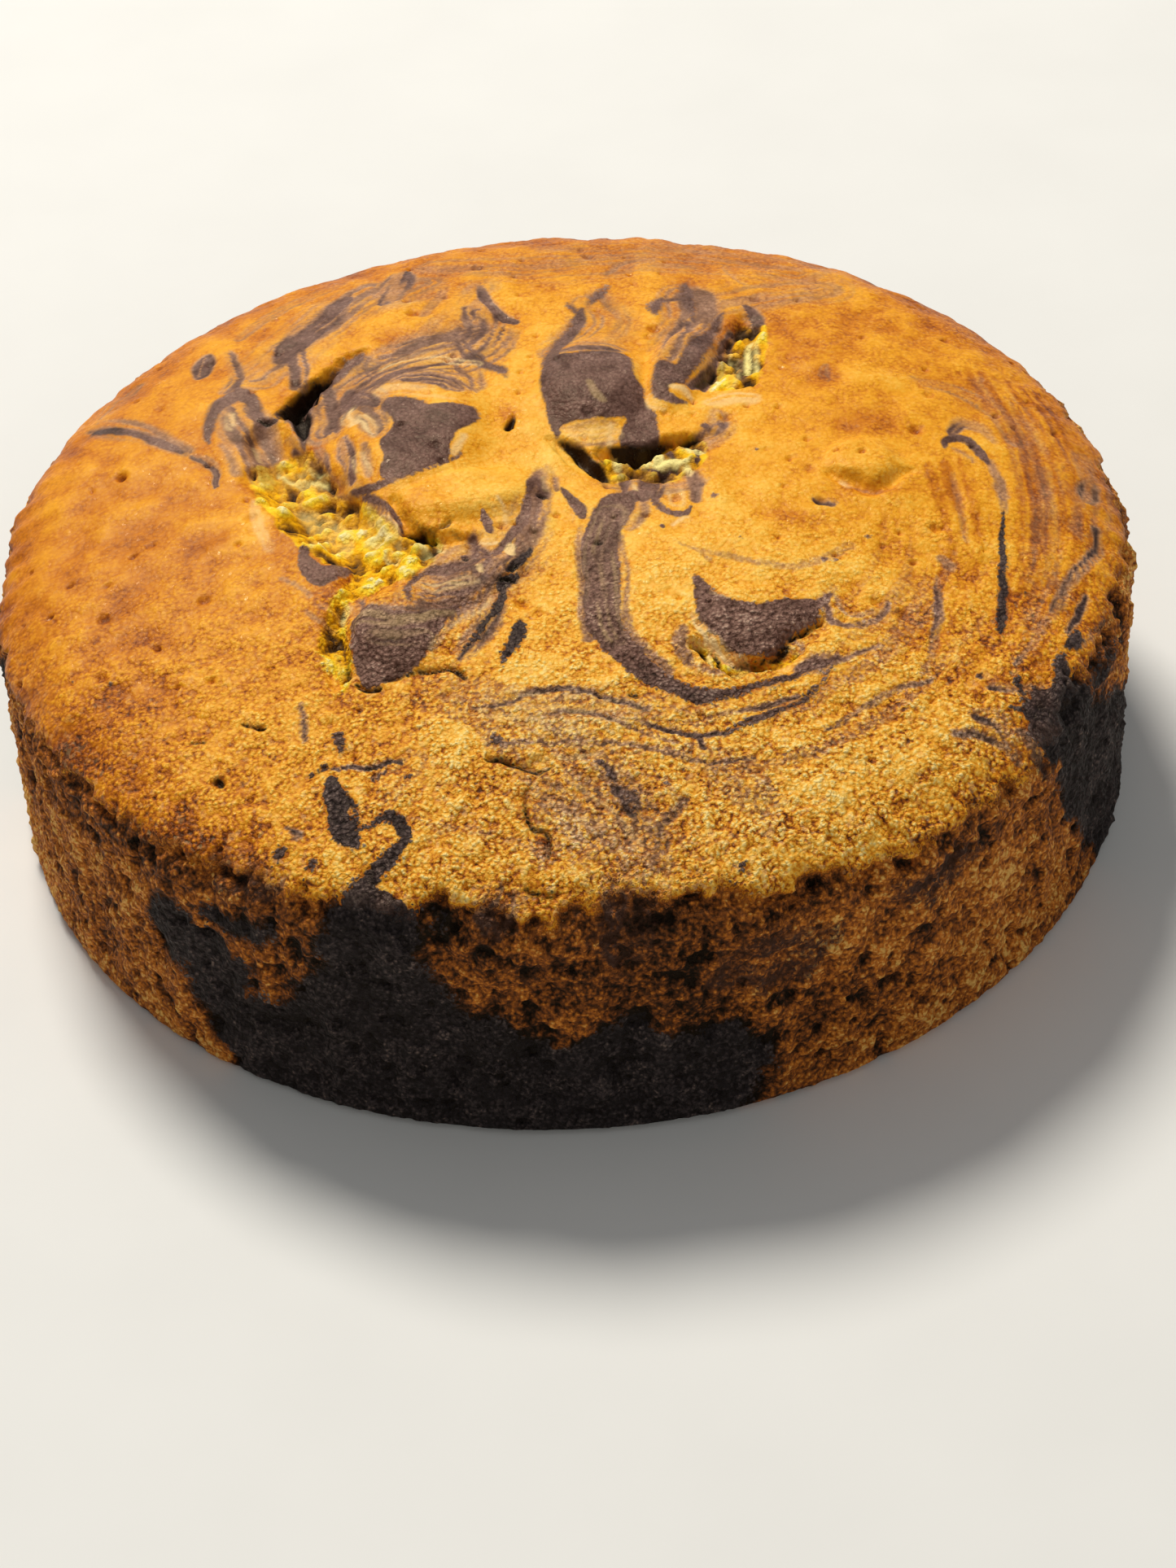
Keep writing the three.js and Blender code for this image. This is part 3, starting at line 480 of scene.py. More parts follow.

# Pale cream streaks and lumps, and painted highlights and sheen on glossy places: (strength, [(x,
# y, half width)]).
PALES_AND_SHEEN = [
    (0.36, [(3.4, 14.6, 1.2), (8, 13.8, 1.5), (12.4, 14, 1.5)]),
    (0.4, [(12.2, 16, 1), (12, 11, 1)]),
    (0.45, [(21, 26, 0.7), (21.2, 23.2, 0.9), (23.4, 21.8, 0.7)]),
    (0.5, [(25.8, 27.6, 0.8), (27.8, 27.4, 1), (29, 26, 0.6)]),
    (0.26, [(8.4, 28.6, 0.7), (8.8, 25, 1), (10.4, 22, 0.7)]),
    (0.7, [(42.8, 37.6, 0.8), (43, 43, 1.3), (43.6, 49, 1)]),
    (0.45, [(37.6, 33, 1.2), (38.4, 40, 1.4), (39.4, 47, 0.9)]),
    (0.4, [(33.6, 24.6, 1.6), (38, 26.4, 2.6), (42, 26, 1.8)]),
    (0.9, [(18.4, 9, 0.6), (20, 7.4, 1), (20.6, 5.4, 0.6)]),
    (0.6, [(12.6, 8.4, 0.8), (12.6, 5, 0.8)]),
    (0.6, [(17.4, 7.6, 0.9), (18, 4.6, 1)]),
    (0.7, [(26, 12.2, 0.6), (26.4, 8, 0.8)]),
    (0.7, [(20.4, 4.4, 0.9), (23, 4.6, 1), (26, 4.2, 0.8)]),
    (0.6, [(28.8, 7.4, 1), (28.8, 7.4, 1)]),
    (0.4, [(22.4, -2, 1.2), (23.6, -6, 1.6), (24, -9.6, 1.2)]),
    (0.5, [(15, -1.6, 0.6), (15.4, -4.4, 0.6)]),
    (0.6, [(26.2, 2, 0.6), (26.8, 0.6, 0.6)]),
    (0.5, [(25, -15.6, 0.9), (23, -17, 0.7)]),
    # Painted highlight and sheen on the shield's left flank.
    (0.75, [(-41, 30, 0.9), (-41, 26.6, 1.3), (-40, 23, 0.8)]),
    (0.55, [(-38, 24.4, 1.2), (-36.6, 21, 1.5), (-35.6, 17, 0.8)]),
    (0.35, [
        (-34.6, 33.4, 1.6), (-30, 33, 1.8), (-25.4, 30.8, 1.8), (-21, 28.4, 1.5), (-18, 27, 0.8)]),
    (0.45, [(-34, 46, 1.4), (-28, 47.6, 2), (-21, 47, 1.6), (-15, 44, 0.8)]),
    (0.5, [(-39, 10.4, 1), (-38.4, 7, 1.4), (-37, 4.6, 0.8)]),
    (0.5, [(-19.6, 8.4, 0.5), (-19, 11, 0.9), (-17.8, 14.4, 0.7)]),
    (0.5, [(-56, 17, 0.8), (-51, 13, 1.3), (-46, 9, 0.9)]),
    (0.28, [(-51, 3, 1.6), (-46.6, -2, 2.6), (-43.6, -6.6, 2.4), (-43.6, -13, 1.6)]),
    (0.6, [(-37.6, -5, 0.6), (-34.8, -9, 0.9), (-33, -14, 0.9), (-32, -17.6, 0.5)]),
    (0.5, [(-34.4, -18.6, 0.8), (-33, -22, 0.9)]),
    (0.4, [(-49, -9, 0.8), (-49.4, -14, 1)]),
    (0.45, [(-38.6, -11.4, 0.9), (-36.4, -13.2, 0.8)]),
    # Painted light on the canyon's raised left rim.
    (0.35, [(-60.6, 4, 1), (-59.4, -5, 1.5), (-57, -13, 1.2)]),
    (0.3, [(-61.6, 25, 0.6), (-60, 19.6, 0.7)]),
    (0.45, [(-66.2, 36, 0.9), (-65.8, 32, 1.4)]),
    (0.6, [(-27.6, -19, 0.9), (-26.4, -21.4, 1.2)]),
    (0.4, [(-26, -31, 0.7), (-21, -32.4, 1), (-16, -32, 0.8)]),
    (0.5, [(-22.6, -17.6, 0.7), (-22.4, -22, 0.8)]),
    # Cream by the feather's tail, with painted highlights on it.
    (0.6, [(-14.4, -18.6, 0.9), (-12.8, -18.4, 0.6)]),
    (0.9, [(-9.6, -19.8, 0.7), (-9.6, -22.8, 0.6)]),
    (0.5, [(-15.6, -27.4, 0.6), (-15.2, -28.8, 0.5)]),
    (0.4, [(-5.4, -14, 0.5), (-4.4, -19, 0.6)]),
    (0.5, [(-11.6, -7.4, 0.9), (-10.8, -10, 1.4), (-10.8, -13, 0.9)]),
    (0.6, [(-2, 2.4, 0.6), (-2, -1.6, 0.6)]),
    (0.4, [(-26, -51, 0.7), (-22, -46, 0.9), (-17.6, -40.6, 0.9), (-14, -36.4, 0.6)]),
    # Painted sheen on the feather's head.
    (0.26, [(-39, -40.4, 1.6), (-33, -42, 2.2), (-27, -42, 1.8), (-22, -40, 1)]),
    (0.2, [(-36, -46, 1.6), (-31, -47.6, 2.4), (-27, -48, 1.6)]),
    (0.34, [(-27, -31.4, 1), (-23, -32.4, 1.5), (-18, -31, 1.2)]),
    (0.3, [(1.4, -9, 0.8), (2.4, -12.4, 0.8)]),
    # Painted sheen along the hook.
    (0.26, [(11, -12, 2.6), (8, -24, 2.6), (7.2, -38, 2.4), (8.4, -50, 2)]),
    (0.8, [
        (24.6, -44.6, 0.5), (26.2, -48.4, 0.8), (28.8, -51.8, 0.8), (31.4, -55, 0.8),
        (34.6, -56.8, 0.5)]),
    (0.8, [(22.6, -51, 0.3), (26, -51.7, 0.45), (29.2, -53.8, 0.45), (31, -56.6, 0.35)]),
    (0.7, [(27, -54, 0.5), (27.2, -58, 0.6)]),
    (0.3, [(32, -58.6, 0.9), (38, -57.8, 1.2), (43.6, -56, 0.8)]),
    # Painted sheen on the smile.
    (0.4, [(28.4, -38.6, 0.5), (31, -40.4, 0.5)]),
    (0.6, [(56.6, -4.6, 0.7), (57.6, -6.4, 0.8)]),
    (0.4, [(-16.6, -78.3, 0.4), (-10, -79.2, 0.5), (-4, -79.6, 0.5), (4, -79.4, 0.4)]),
    (0.26, [(-14, -66, 3), (-2, -69, 4.5), (10, -69, 3)]),
    (0.26, [(-6, -86, 3), (2, -92, 4), (8, -99, 3)]),
    (0.9, [(-5.9, -81.7, 0.4), (-5.9, -81.7, 0.4)]),
    (0.4, [(-42.4, -33, 0.9), (-43.6, -36, 0.6)]),
]

# Families of fine stripes between two guide lines: (count, strength, [(x, y)], [(x, y)]).
FANS = [
    (8, 0.7, [(-31, -37), (-24, -36), (-17, -33), (-12, -27), (-8.4, -18), (-5, -5)],
     [(-26, -52), (-20.6, -44.6), (-14.6, -38), (-9.6, -30), (-4.6, -18), (-3, -5)]),
    (4, 0.5, [(-36, -1), (-33, -8), (-31.6, -13)], [(-39, -4), (-36, -10), (-33, -15)]),
    (5, 0.45, [(-44, 36), (-41, 42), (-34, 46), (-24, 47), (-17, 43), (-13, 37)],
     [(-38, 30), (-36, 34), (-31, 36), (-25, 35), (-20, 32), (-17, 29)]),
    (5, 0.3, [(-57, 26), (-52, 14), (-47, 2), (-41, -8), (-36, -18)],
     [(-50, 24), (-46, 12), (-41, 2), (-36, -6), (-32, -14)]),
]
FAN_WIDTHS = (0.25, 0.55)
# Families of soft brown rings in the crust on the right.
BAKE_FANS = [
    (6, 0.44, [(86, 40), (91, 14), (91, -8), (87, -28), (80, -46), (70, -60)],
     [(104, 34), (109, 4), (107, -18), (100, -36), (91, -52), (79, -65)]),
    (3, 0.3, [(74, 0), (75, -20), (71, -36), (62, -50)],
     [(84, 4), (84, -16), (80, -36), (71, -54)]),
]
BAKE_FAN_WIDTHS = (0.5, 0.95)

# Torn places where the bare crumb shows: outlines, and lines with (x, y, half width).
TORN_PATCHES = {
    "canyon": [
        (-63, 16), (-62, 8), (-59, 3), (-57, -2), (-55, -8), (-52, -13), (-50, -15), (-48, -18),
        (-46, -20), (-43, -19.5), (-41, -19), (-41.5, -24), (-43, -28), (-45, -32), (-47, -38),
        (-47.5, -44), (-45.4, -50), (-44, -56), (-42.5, -57), (-42, -52), (-42.5, -46), (-42, -38),
        (-41.5, -31), (-38, -29.6), (-31, -28.6), (-27, -26.6), (-25, -25), (-27, -21), (-30, -18),
        (-32, -13), (-34, -8), (-36, -4), (-39, -1), (-43, 2), (-46, 8), (-48, 14), (-52, 20),
        (-57, 20)],
    "back_split": [
        (33.4, 31), (36, 29.6), (40, 31), (44, 33), (45.4, 40), (47, 48), (47.6, 55), (44.6, 57),
        (41, 57.4), (39.6, 54), (37.6, 49), (36.4, 44), (35, 39)],
    "navel": [
        (9, 2), (9.6, 8.6), (12, 9.6), (17, 9), (22, 11), (26, 13), (30, 12.4), (31, 8), (29, 4),
        (26, 1), (21, 0.6), (16, 1.6), (13, 0), (10, -1)],
    "petal_tear": [
        (-31, -12.4), (-27, -14), (-24.6, -15), (-24, -19), (-24.6, -23), (-27, -24.4), (-30, -21),
        (-31, -17)],
}
TORN_LINES = {
    "smile_edge": [
        (24, -51.6, 0.7), (26.5, -55, 1.6), (29.4, -57.4, 1.3), (33, -58, 1), (38, -57, 0.8),
        (43, -53.4, 0.7)],
    "left_edge": [(-60.6, 14, 1), (-59.6, 4, 1)],
}

# Clefts so deep that they look black: painted shade darkens their colour, on top of their real
# depth.
GAP_LINES = {
    "back_gap": [
        (-57, 32.8, 0.4), (-54.8, 35.2, 1.1), (-53.4, 38.3, 1.3), (-51.8, 41.5, 1.4),
        (-50, 44.6, 1.3), (-48, 46.3, 1), (-46.2, 48.4, 0.4)],
    "back_gap_fold": [(-49.2, 39.6, 0.3), (-48.4, 41.8, 0.6), (-46.6, 43.7, 0.4), (-46, 45.6, 0.2)],
    "back_gap_floor": [(-52, 37, 1.2), (-51.6, 32, 2.2), (-51, 27, 1.8), (-50.6, 22.6, 0.5)],
    "left_link": [(-60.4, 32, 0.3), (-58.6, 30.8, 0.5), (-56.4, 30.8, 0.3)],
    "navel_gap": [
        (1.4, 14, 0.5), (3.6, 12, 1), (5.2, 10.3, 1.3), (6.4, 7.6, 1.3), (7.6, 5, 1.4),
        (8.6, 2.4, 1.4), (9, 0.4, 1)],
    "navel_arc": [(8.3, 9, 0.2), (9.2, 10.5, 0.3), (10.6, 10.5, 0.3), (11.8, 9.6, 0.2)],
    "navel_dark": [(9.4, 8.6, 0.3), (9.6, 6, 0.5), (10, 3.6, 0.3)],
    "blob_gap": [
        (12, 9.9, 0.7), (15, 9.3, 1.4), (17.4, 9.3, 1.4), (19.4, 10.2, 1.1), (21.4, 11.5, 0.8),
        (24, 12.9, 0.4)],
    "blob_gap_foot": [(14.8, 8.4, 0.8), (15.4, 6, 1), (16.2, 4, 0.5)],
    "side_gap_a": [(25, 13.3, 0.25), (27.4, 13.3, 0.45), (29.8, 12.9, 0.4)],
    "side_gap_b": [(28.4, 11.8, 0.4), (28.2, 9.4, 0.3)],
    "olive_gap": [(29.6, 29.8, 0.25), (31.6, 32.8, 0.5), (33.4, 36, 0.5), (34.6, 39, 0.35)],
    "hole": [(-9.6, 18.8, 0.9), (-8.9, 20.4, 1), (-8.4, 22.6, 0.4)],
    "petal_gap": [(-30.4, -12.8, 0.8), (-28.6, -14.6, 1.9), (-26.8, -16.6, 1.7), (-25, -18.6, 0.8)],
    "petal_gap_side": [(-24.8, -15.4, 0.4), (-24.6, -19.8, 0.4)],
    "petal_gap_left": [(-30.6, -17.6, 0.5), (-29.2, -21.6, 0.4)],
    "petal_lip": [
        (-28.6, -12, 0.15), (-26, -14.3, 0.25), (-24, -14.5, 0.3), (-22.6, -13.4, 0.5),
        (-22, -12.2, 0.4)],
    "petal_lip_end": [(-21.6, -14.9, 0.2), (-19.6, -16, 0.35), (-17.2, -16.3, 0.15)],
    "spot_a": [(-18.6, -24, 0.5), (-18, -24, 0.5)],
    "spot_b": [(-3.4, -4.2, 0.6), (-2.6, -4.5, 0.6)],
    "feather_gap": [(-12, -31.7, 0.5), (-10.4, -30.8, 0.8), (-8.8, -31.4, 0.4)],
    "feather_foot_a": [(-40.6, -56.2, 0.4), (-38.4, -57.9, 0.7), (-36.2, -57.6, 0.4)],
    "feather_foot_b": [(-35.4, -56, 0.4), (-32, -55.6, 0.45), (-29.4, -54.8, 0.3)],
    "feather_left": [(-41.9, -48, 0.25), (-42.3, -51, 0.4), (-42, -54, 0.3)],
    "tail_edge": [(-8.6, -26.6, 0.3), (-9.4, -28.2, 0.5)],
    "smile_gap": [
        (31, -56, 0.25), (33.6, -56.4, 0.45), (36.4, -55.7, 0.35), (39, -54.8, 0.5),
        (40.8, -53.2, 0.8), (41.3, -51.4, 0.4)],
    "smile_gap_end": [(42, -50.3, 0.2), (45, -48.7, 0.35), (47.8, -46.4, 0.2)],
    "smile_hole": [(24.6, -52, 0.4), (25.8, -53.2, 0.7), (26.3, -54.8, 0.4)],
    "smile_hole_side": [(27.7, -53.4, 0.25), (28.8, -55.6, 0.5), (29, -58.4, 0.4)],
    "hook_mark": [(5.4, -19.8, 0.15), (9.6, -19.7, 0.2)],
    "hook_spot": [(7.5, -20.9, 0.5), (8.2, -21.1, 0.5)],
    "south_hole": [(11, -65, 0.3), (12.4, -65.4, 0.4)],
    "crack_a": [
        (-17, -78.4, 0.45), (-14.6, -79, 0.55), (-12, -80.4, 0.7), (-9.4, -82, 0.7),
        (-7, -82.7, 0.65), (-4.6, -81.8, 0.45)],
    "crack_b": [
        (-9, -85.6, 0.35), (-10.2, -88, 0.4), (-10, -91, 0.45), (-9, -94.4, 0.5),
        (-6.6, -95.6, 0.45), (-6.2, -98, 0.5), (-6.4, -100.6, 0.45)],
    "crack_c": [(-29, -55, 0.4), (-23, -55.4, 0.45), (-20.6, -58, 0.4)],
    "crack_d": [(-10.8, -106, 0.3), (-9, -107.6, 0.4), (-5, -108.4, 0.3)],
    "crack_e": [(-49.4, -76.2, 0.3), (-47.6, -76, 0.4), (-46.6, -74.6, 0.4), (-45.2, -75.6, 0.4)],
    "crack_f": [(-38.4, -76.4, 0.2), (-37.2, -76.9, 0.35)],
    "pore_a": [(-72, -63.2, 0.5), (-69.6, -63.5, 0.6)],
    "pore_b": [(-62.2, -60.6, 0.3), (-60, -61.8, 0.4), (-58.2, -62.9, 0.7)],
    "pore_c": [(-66.5, -73, 0.8), (-65.8, -74, 0.8)],
}

# How dark the crust baked, with a few spots of painted shade and painted light: (x, y, reach in x,
# in y, amount).
BAKE_AND_SHADING_SPOTS = [
    (-88, -20, 46, 70, 0.17), (-62, -52, 24, 30, -0.02), (70, 66, 48, 44, 0.12),
    (0, 100, 70, 24, 0.15), (-70, 70, 34, 30, 0.06), (-4, 8, 30, 36, -0.1),
    (24, -30, 26, 34, -0.08), (43, -15, 4, 4, 0.14), (47, -17, 4, 3.5, 0.18), (62, 2, 9, 7, -0.12),
    (-71, -8.6, 4, 2.6, 0.16), (-66.6, -6.6, 2.6, 2.4, 0.18), (50, -84, 34, 20, -0.06),
    (-84, -46, 20, 30, 0.06), (65, 15, 7, 5, 0.14), (57.6, 35, 2.4, 3.4, 0.26),
    # In the next line, (64, -7.4) is a painted shadow under the blister.
    (64, -7.4, 6, 2, 0.3), (41, 46, 4, 9, 0.5), (-97.6, -10, 2.4, 3.4, 0.12),
    # In the next line, (-60, -6) is painted light on the canyon's raised left rim, and (-48.2, 18)
    # is painted shade in the cleft between the island and the canyon.
    (-60, -6, 3, 9, -0.14), (-48.2, 18, 1.8, 5, 0.26), (-54, -8, 2.4, 5, 0.08),
    (-37, -20, 4, 5, 0.02), (-46, -42, 4, 10, 0.1), (-41, -27, 6, 6, 0.16),
    (41.4, 54, 1.8, 3.6, 0.24), (52, 48, 3, 8, 0.1), (55, 41, 2.4, 4, 0.14), (60, 46, 4, 6, 0.12),
    (20, 5, 11, 7, 0.24), (-6, -66, 20, 9, -0.2), (16, -98, 54, 16, -0.04),
    # In the next line, (-13, -80) is painted shade in the front crack.
    (-108, -36, 10, 26, -0.14), (-13, -80, 5, 1.4, 0.2), (-7.2, -99.6, 1.4, 2.6, 0.36),
    # In the next line, (23.8, 8.4) is a painted shadow in the crumb by the blob's gap.
    (23.8, 8.4, 1.2, 3, 0.3), (-9, 23, 2, 2.4, 0.2), (-33, 58, 4, 5, 0.08),
    (-15.6, 12.6, 2, 2.4, 0.1), (-47, -33, 3, 5, 0.1), (-43, -61, 3, 4, 0.14),
    (44, -33, 3, 3, 0.06), (6, -60, 4, 4, 0.08),
]

# ---- The marbling of the wall: degrees from the front, to the right, and height in mm ---------

# The outlines run on below the foot, where they cover the underside.
WALL_PATCHES = {
    "main": [
        (-46.6, 32), (-44, 26), (-41, 22), (-40, 14), (-38, 8), (-36, 0), (-34, -30), (-22, -58),
        (2, -52), (11, -26), (13, 0), (14.5, 4), (15.5, 11), (15, 18), (12.5, 24.5), (8, 22.5),
        (5, 26), (3, 30), (0, 27), (-3.5, 21.5), (-6, 28), (-9, 30), (-13, 31), (-14, 36),
        (-15, 42), (-16, 48), (-14.5, 53), (-17, 56), (-20, 59), (-23, 60), (-24, 52), (-25, 42),
        (-26, 33), (-29, 26), (-33, 25), (-33.6, 31), (-37.4, 37), (-40.6, 40), (-43.4, 39.6)],
    "right": [
        (48, 57), (50, 50), (52, 45), (54, 36), (55, 30), (57, 22), (60, 14), (62, 7), (65, -1),
        (70, -30), (92, -34), (104, -6), (101, 12), (92, 18), (84, 14), (79, 24), (72, 34),
        (66, 40), (61, 48), (59, 56), (54, 60)],
    "back_right": [
        (118, 18), (124, 34), (131, 40), (136, 52), (141, 57), (145, 46), (148, 34), (158, 28),
        (166, 14), (163, -6), (152, -34), (128, -30), (117, -4)],
    "back_left": [
        (-172, 30), (-164, 36), (-158, 28), (-149, 24), (-141, 34), (-133, 30), (-128, 16),
        (-131, -4), (-142, -22), (-160, -26), (-174, -8), (-178, 12)],
    "left": [
        (-104, 26), (-98, 33), (-91, 28), (-86, 17), (-88, 2), (-92, -16), (-102, -18), (-110, 0),
        (-109, 14)],
}
WALL_LINES = {
    "rim_drip_a": [(-31, 41, 2), (-34, 40.5, 3), (-37, 41, 2)],
    "rim_drip_b": [(-19, 53, 2), (-16.5, 55, 2), (-13.5, 53, 2)],
    "right_streak": [(57, 44, 2), (63, 34, 3), (70, 22, 3)],
    "back_streak": [(172, 44, 1), (178, 36, 2.4), (184, 30, 2)],
    "left_streak": [(-80, 46, 1), (-84, 40, 2), (-90, 34, 2)],
    "far_streak": [(108, 40, 1), (112, 30, 2.2), (114, 18, 2)],
}
WALL_VEILS = {
    "rim_a": (0.55, [(-9, 52, 2), (-8, 56, 3)]),
    "rim_b": (0.5, [(3, 46, 3), (4, 52, 4), (3, 57, 3)]),
    "rim_c": (0.35, [(14, 38, 4), (18, 36, 5), (22, 39, 3)]),
    "rim_d": (0.3, [(-36, 50, 3), (-31, 52, 3)]),
    "rim_e": (0.45, [(30, 42, 2), (33, 41, 3), (38, 42, 2)]),
    "rim_f": (0.12, [(-58, 48, 4), (-66, 52, 5), (-76, 50, 4)]),
    "back_a": (0.35, [(150, 44, 4), (160, 48, 5)]),
    "back_b": (0.35, [(-120, 40, 4), (-112, 46, 5)]),
}
# How high the torn wall reaches: (degrees, height in mm).
WALL_EDGE = [
    (-72, 49.6), (-60, 51), (-50, 51.6), (-40, 51.6), (-31, 52), (-25, 52.6), (-18, 52.8),
    (-15, 53.6), (-13, 54.8), (-11, 54), (-9, 54.6), (-6, 52.6), (-3, 52.8), (0, 54.2), (5, 54.6),
    (11, 54), (16, 52.6), (22, 51.2), (30, 50.4), (38, 49.4), (46, 49.6), (52, 51.5), (60, 52.4),
    (80, 51), (105, 52.2), (130, 50.6), (160, 52), (185, 50.8), (215, 52.4), (245, 51),
    (275, 49.4),
]
LAPS = (0, 360, -360)  # the marks also reach points one lap away
WALL_MM = math.radians(1) * CAKE_RADIUS  # millimetres along the wall in a degree

# ---- Sizes of the fine mesh, in rings and rows ------------------------------------------------

DOME_RINGS = 164
SHOULDER_RINGS = 28
RING_STEP = 6  # how many more points each ring has than the one inside it
RIM_RING = DOME_RINGS + SHOULDER_RINGS
RIM_COUNT = RING_STEP * RIM_RING
WALL_ROWS = 70
FOOT_RINGS = RIM_RING // 3
DOME_LEAN = 0.3  # how far the outward direction leans at the dome's edge, in radians
DOME_LEAN_POWER = 1.4

# Places in the map for baking, which is 1 wide and 1 high.
TOP_MAP = (0.335, 0.665, 0.325)  # centre and radius of the top
FOOT_MAP = (0.17, 0.165, 0.15)
STRIPS = ((0.685, 0.12), (0.84, 0.12))  # left edge and width of the wall's two strips
STRIP_START, STRIP_LENGTH = 0.02, 0.96

# ---- How the marks are drawn, in millimetres --------------------------------------------------

FIELD_REACH = 6.0  # farther than this outside a mark, its field stays the same
FAR = 1e9
TINY = 1e-9
CURVE_STEPS = 5  # points on a smooth line for each row
STREAK_WIDTH = 0.9
STREAK_LENGTH = 13.0
STREAK_SHIFTS = (31.7, 17.3)  # they give each line streaks of its own
LINE_ROUGHNESS = 0.35  # how far the streaks move a line's edge
VEIL_FADE = (0.6, 2.3)  # where a tint's edge fades, in half widths
VEIL_MARGIN = 0.5
VEIL_LEAST_WIDTH = 0.2  # a tint narrower than this fades as if it had this half width
VEIL_STRIPES = (0.5, 0.9)  # a tint's strength between its stripes, and what a stripe adds
STRIPE_EDGE = (-0.4, 0.4)
FAN_PLACES = 7  # points on each stripe of a fan
FAN_SEEDS = (1, 5)

# Moves that make drawn edges uneven: (size of the bumps, reach).
WARPS = ((11.0, 0.8), (2.2, 0.3))
SPLIT_WARPS = ((6.0, 1.3), (2.6, 0.7))
TOP_SEED = 20
WALL_SEED = 60
SPLIT_SEED = 90
SECOND_SEED = 10  # added to a seed for the moves in the second direction
SPLIT_EDGE = (0.2, 1.12)  # where a split's walls run, in half widths
SPLIT_MARGIN = 1.3
LOBE_FOOT = 1.1  # where a lobe ends, in half lengths

# Layers of noise: (size of the bumps, amount, seed).
WALL_ROUGHNESS = (((4.4, 2.2, 77), (1.8, 1.2, 79)), ((4.4, 2.2, 78), (1.8, 1.2, 80)))
EDGE_WAVES = ((7, 1.1, 6),)
EDGE_ROUGHNESS = ((2.4, 1.4, 7), (1.2, 0.7, 8))
SWIRL_WAVES = ((19, 2.2, 71), (5, 0.5, 72))

# Fine lines that run round the cake in the crust on the right.
SWIRL_CENTRE = (8, -6)
SWIRL_RADIUS = 65  # where the lines have the length given here
SWIRL_PITCH = 1.9
SWIRL_LENGTH = 34.0
SWIRL_BROAD = (3.1, 1.6)  # pitch and length of the broad lines, in those of the fine lines
SWIRL_SHIFT = 40
SWIRL_TURN = ((-138, -112), (12, 44))  # degrees over which they come in and go out
SWIRL_BAND = ((50, 62), (88, 104))  # radii over which they come in and go out
SWIRL_VEIL = 0.26

# ---- Where the crust and the wall change, in millimetres --------------------------------------

# Where the chocolate is darker, towards the front, the back and the rim: (amount, start, end).
FRONT_DARK = (0.6, 54, 68)
BACK_DARK = (0.15, -10, 15)
RIM_DARK = (0.8, 92, 104)
DARK_EDGE = (-1.5, 0)  # distances inside a dark mark over which it gets dark
BACK_SOFTNESS = (0.6, -10, 50)

# Heights over which the marks of the top come in, and those of the wall go out.
TOP_START = (44, 47)
WALL_MARKS_END = (51, 57)
WALL_TINTS_END = (53, 58)

# How dark the top baked. 0 is pale cream and 1 is dark brown.
TOP_BAKE = 0.36
SWIRL_BAKE = 0.13
FAN_BAKE = 0.55
RIM_BAKE = 0.15
RIM_BAKE_START = (98, 113)
RIM_BAKE_FRONT = (0.12, 60, 100)  # how much less of it there is at the front

# How dark the wall's crumb baked, with painted shade at the front: (degrees from the front, reach
# in degrees, amount).
WALL_BAKE = 0.21
WALL_BAKE_AND_SHADE_SPOTS = [(0, 28, 0.28), (34, 16, -0.05), (60, 14, 0.07)]
WALL_BAKE_BACK = (0.14, 20, 80)

# The browner crust along the wall's edge, and where it is broader and browner:
# (degrees from the front, reach in degrees, amount, extra breadth, amount on the wall below).
BROW = 0.11
BROW_BREADTH = 2.4
BROW_SPOTS = [(-48, 22, 0.21, 4, 0.14), (36, 18, 0.1, 3, 0.08)]
BROW_PATCHES = (9, 9)  # size and seed
BROW_PATCH_EDGE = (-0.6, 0.4)
BROW_WALL = (36, 46)  # heights over which the brown on the wall below comes in

# How strong the grain is: faint on the back of the top, stronger towards the front, where it is
# weaker again on the left, and full on the wall.
GRAIN = 0.3
GRAIN_FRONT = (1.05, -4, 98)
GRAIN_LEFT = (0.3, 20, 70)
WALL_GRAIN = 1

# ---- Fine relief, in millimetres --------------------------------------------------------------

# Layers of noise: (size of the bumps, amount, seed).
CRUST_WAVES = ((8, 0.3, 30), (4.6, 0.28, 31))
CRUST_GRAIN = ((2.1, 0.3, 32), (1.2, 0.26, 33))
CRUMB_GRAIN = ((1.1, 0.4, 58),)
WALL_WAVES = ((6, 0.5, 57),)
TORN_WAVES = ((7, 0.9, 57),)

# Pits in the crust: (cell size, seed, share of cells with none, depth, edge in cell sizes).
PITS = [(3.2, 41, 0.9, 0.9, (0.12, 0.3)), (7.5, 43, 0.78, 0.8, (0.06, 0.26))]

# Crumbs: (cell size, seed, height, where they are level with the rest, in cell sizes).
SMALL_CRUMBS = (1.9, 55, 1.05, 0.45)
LARGE_CRUMBS = (3.4, 51, 2.4, 0.42)
SMALL_ON_LARGE = 0.9
HOLES = (3.0, 59)
HOLE_EDGE = (0.3, 0.7)
HOLE_DEPTH = 0.9

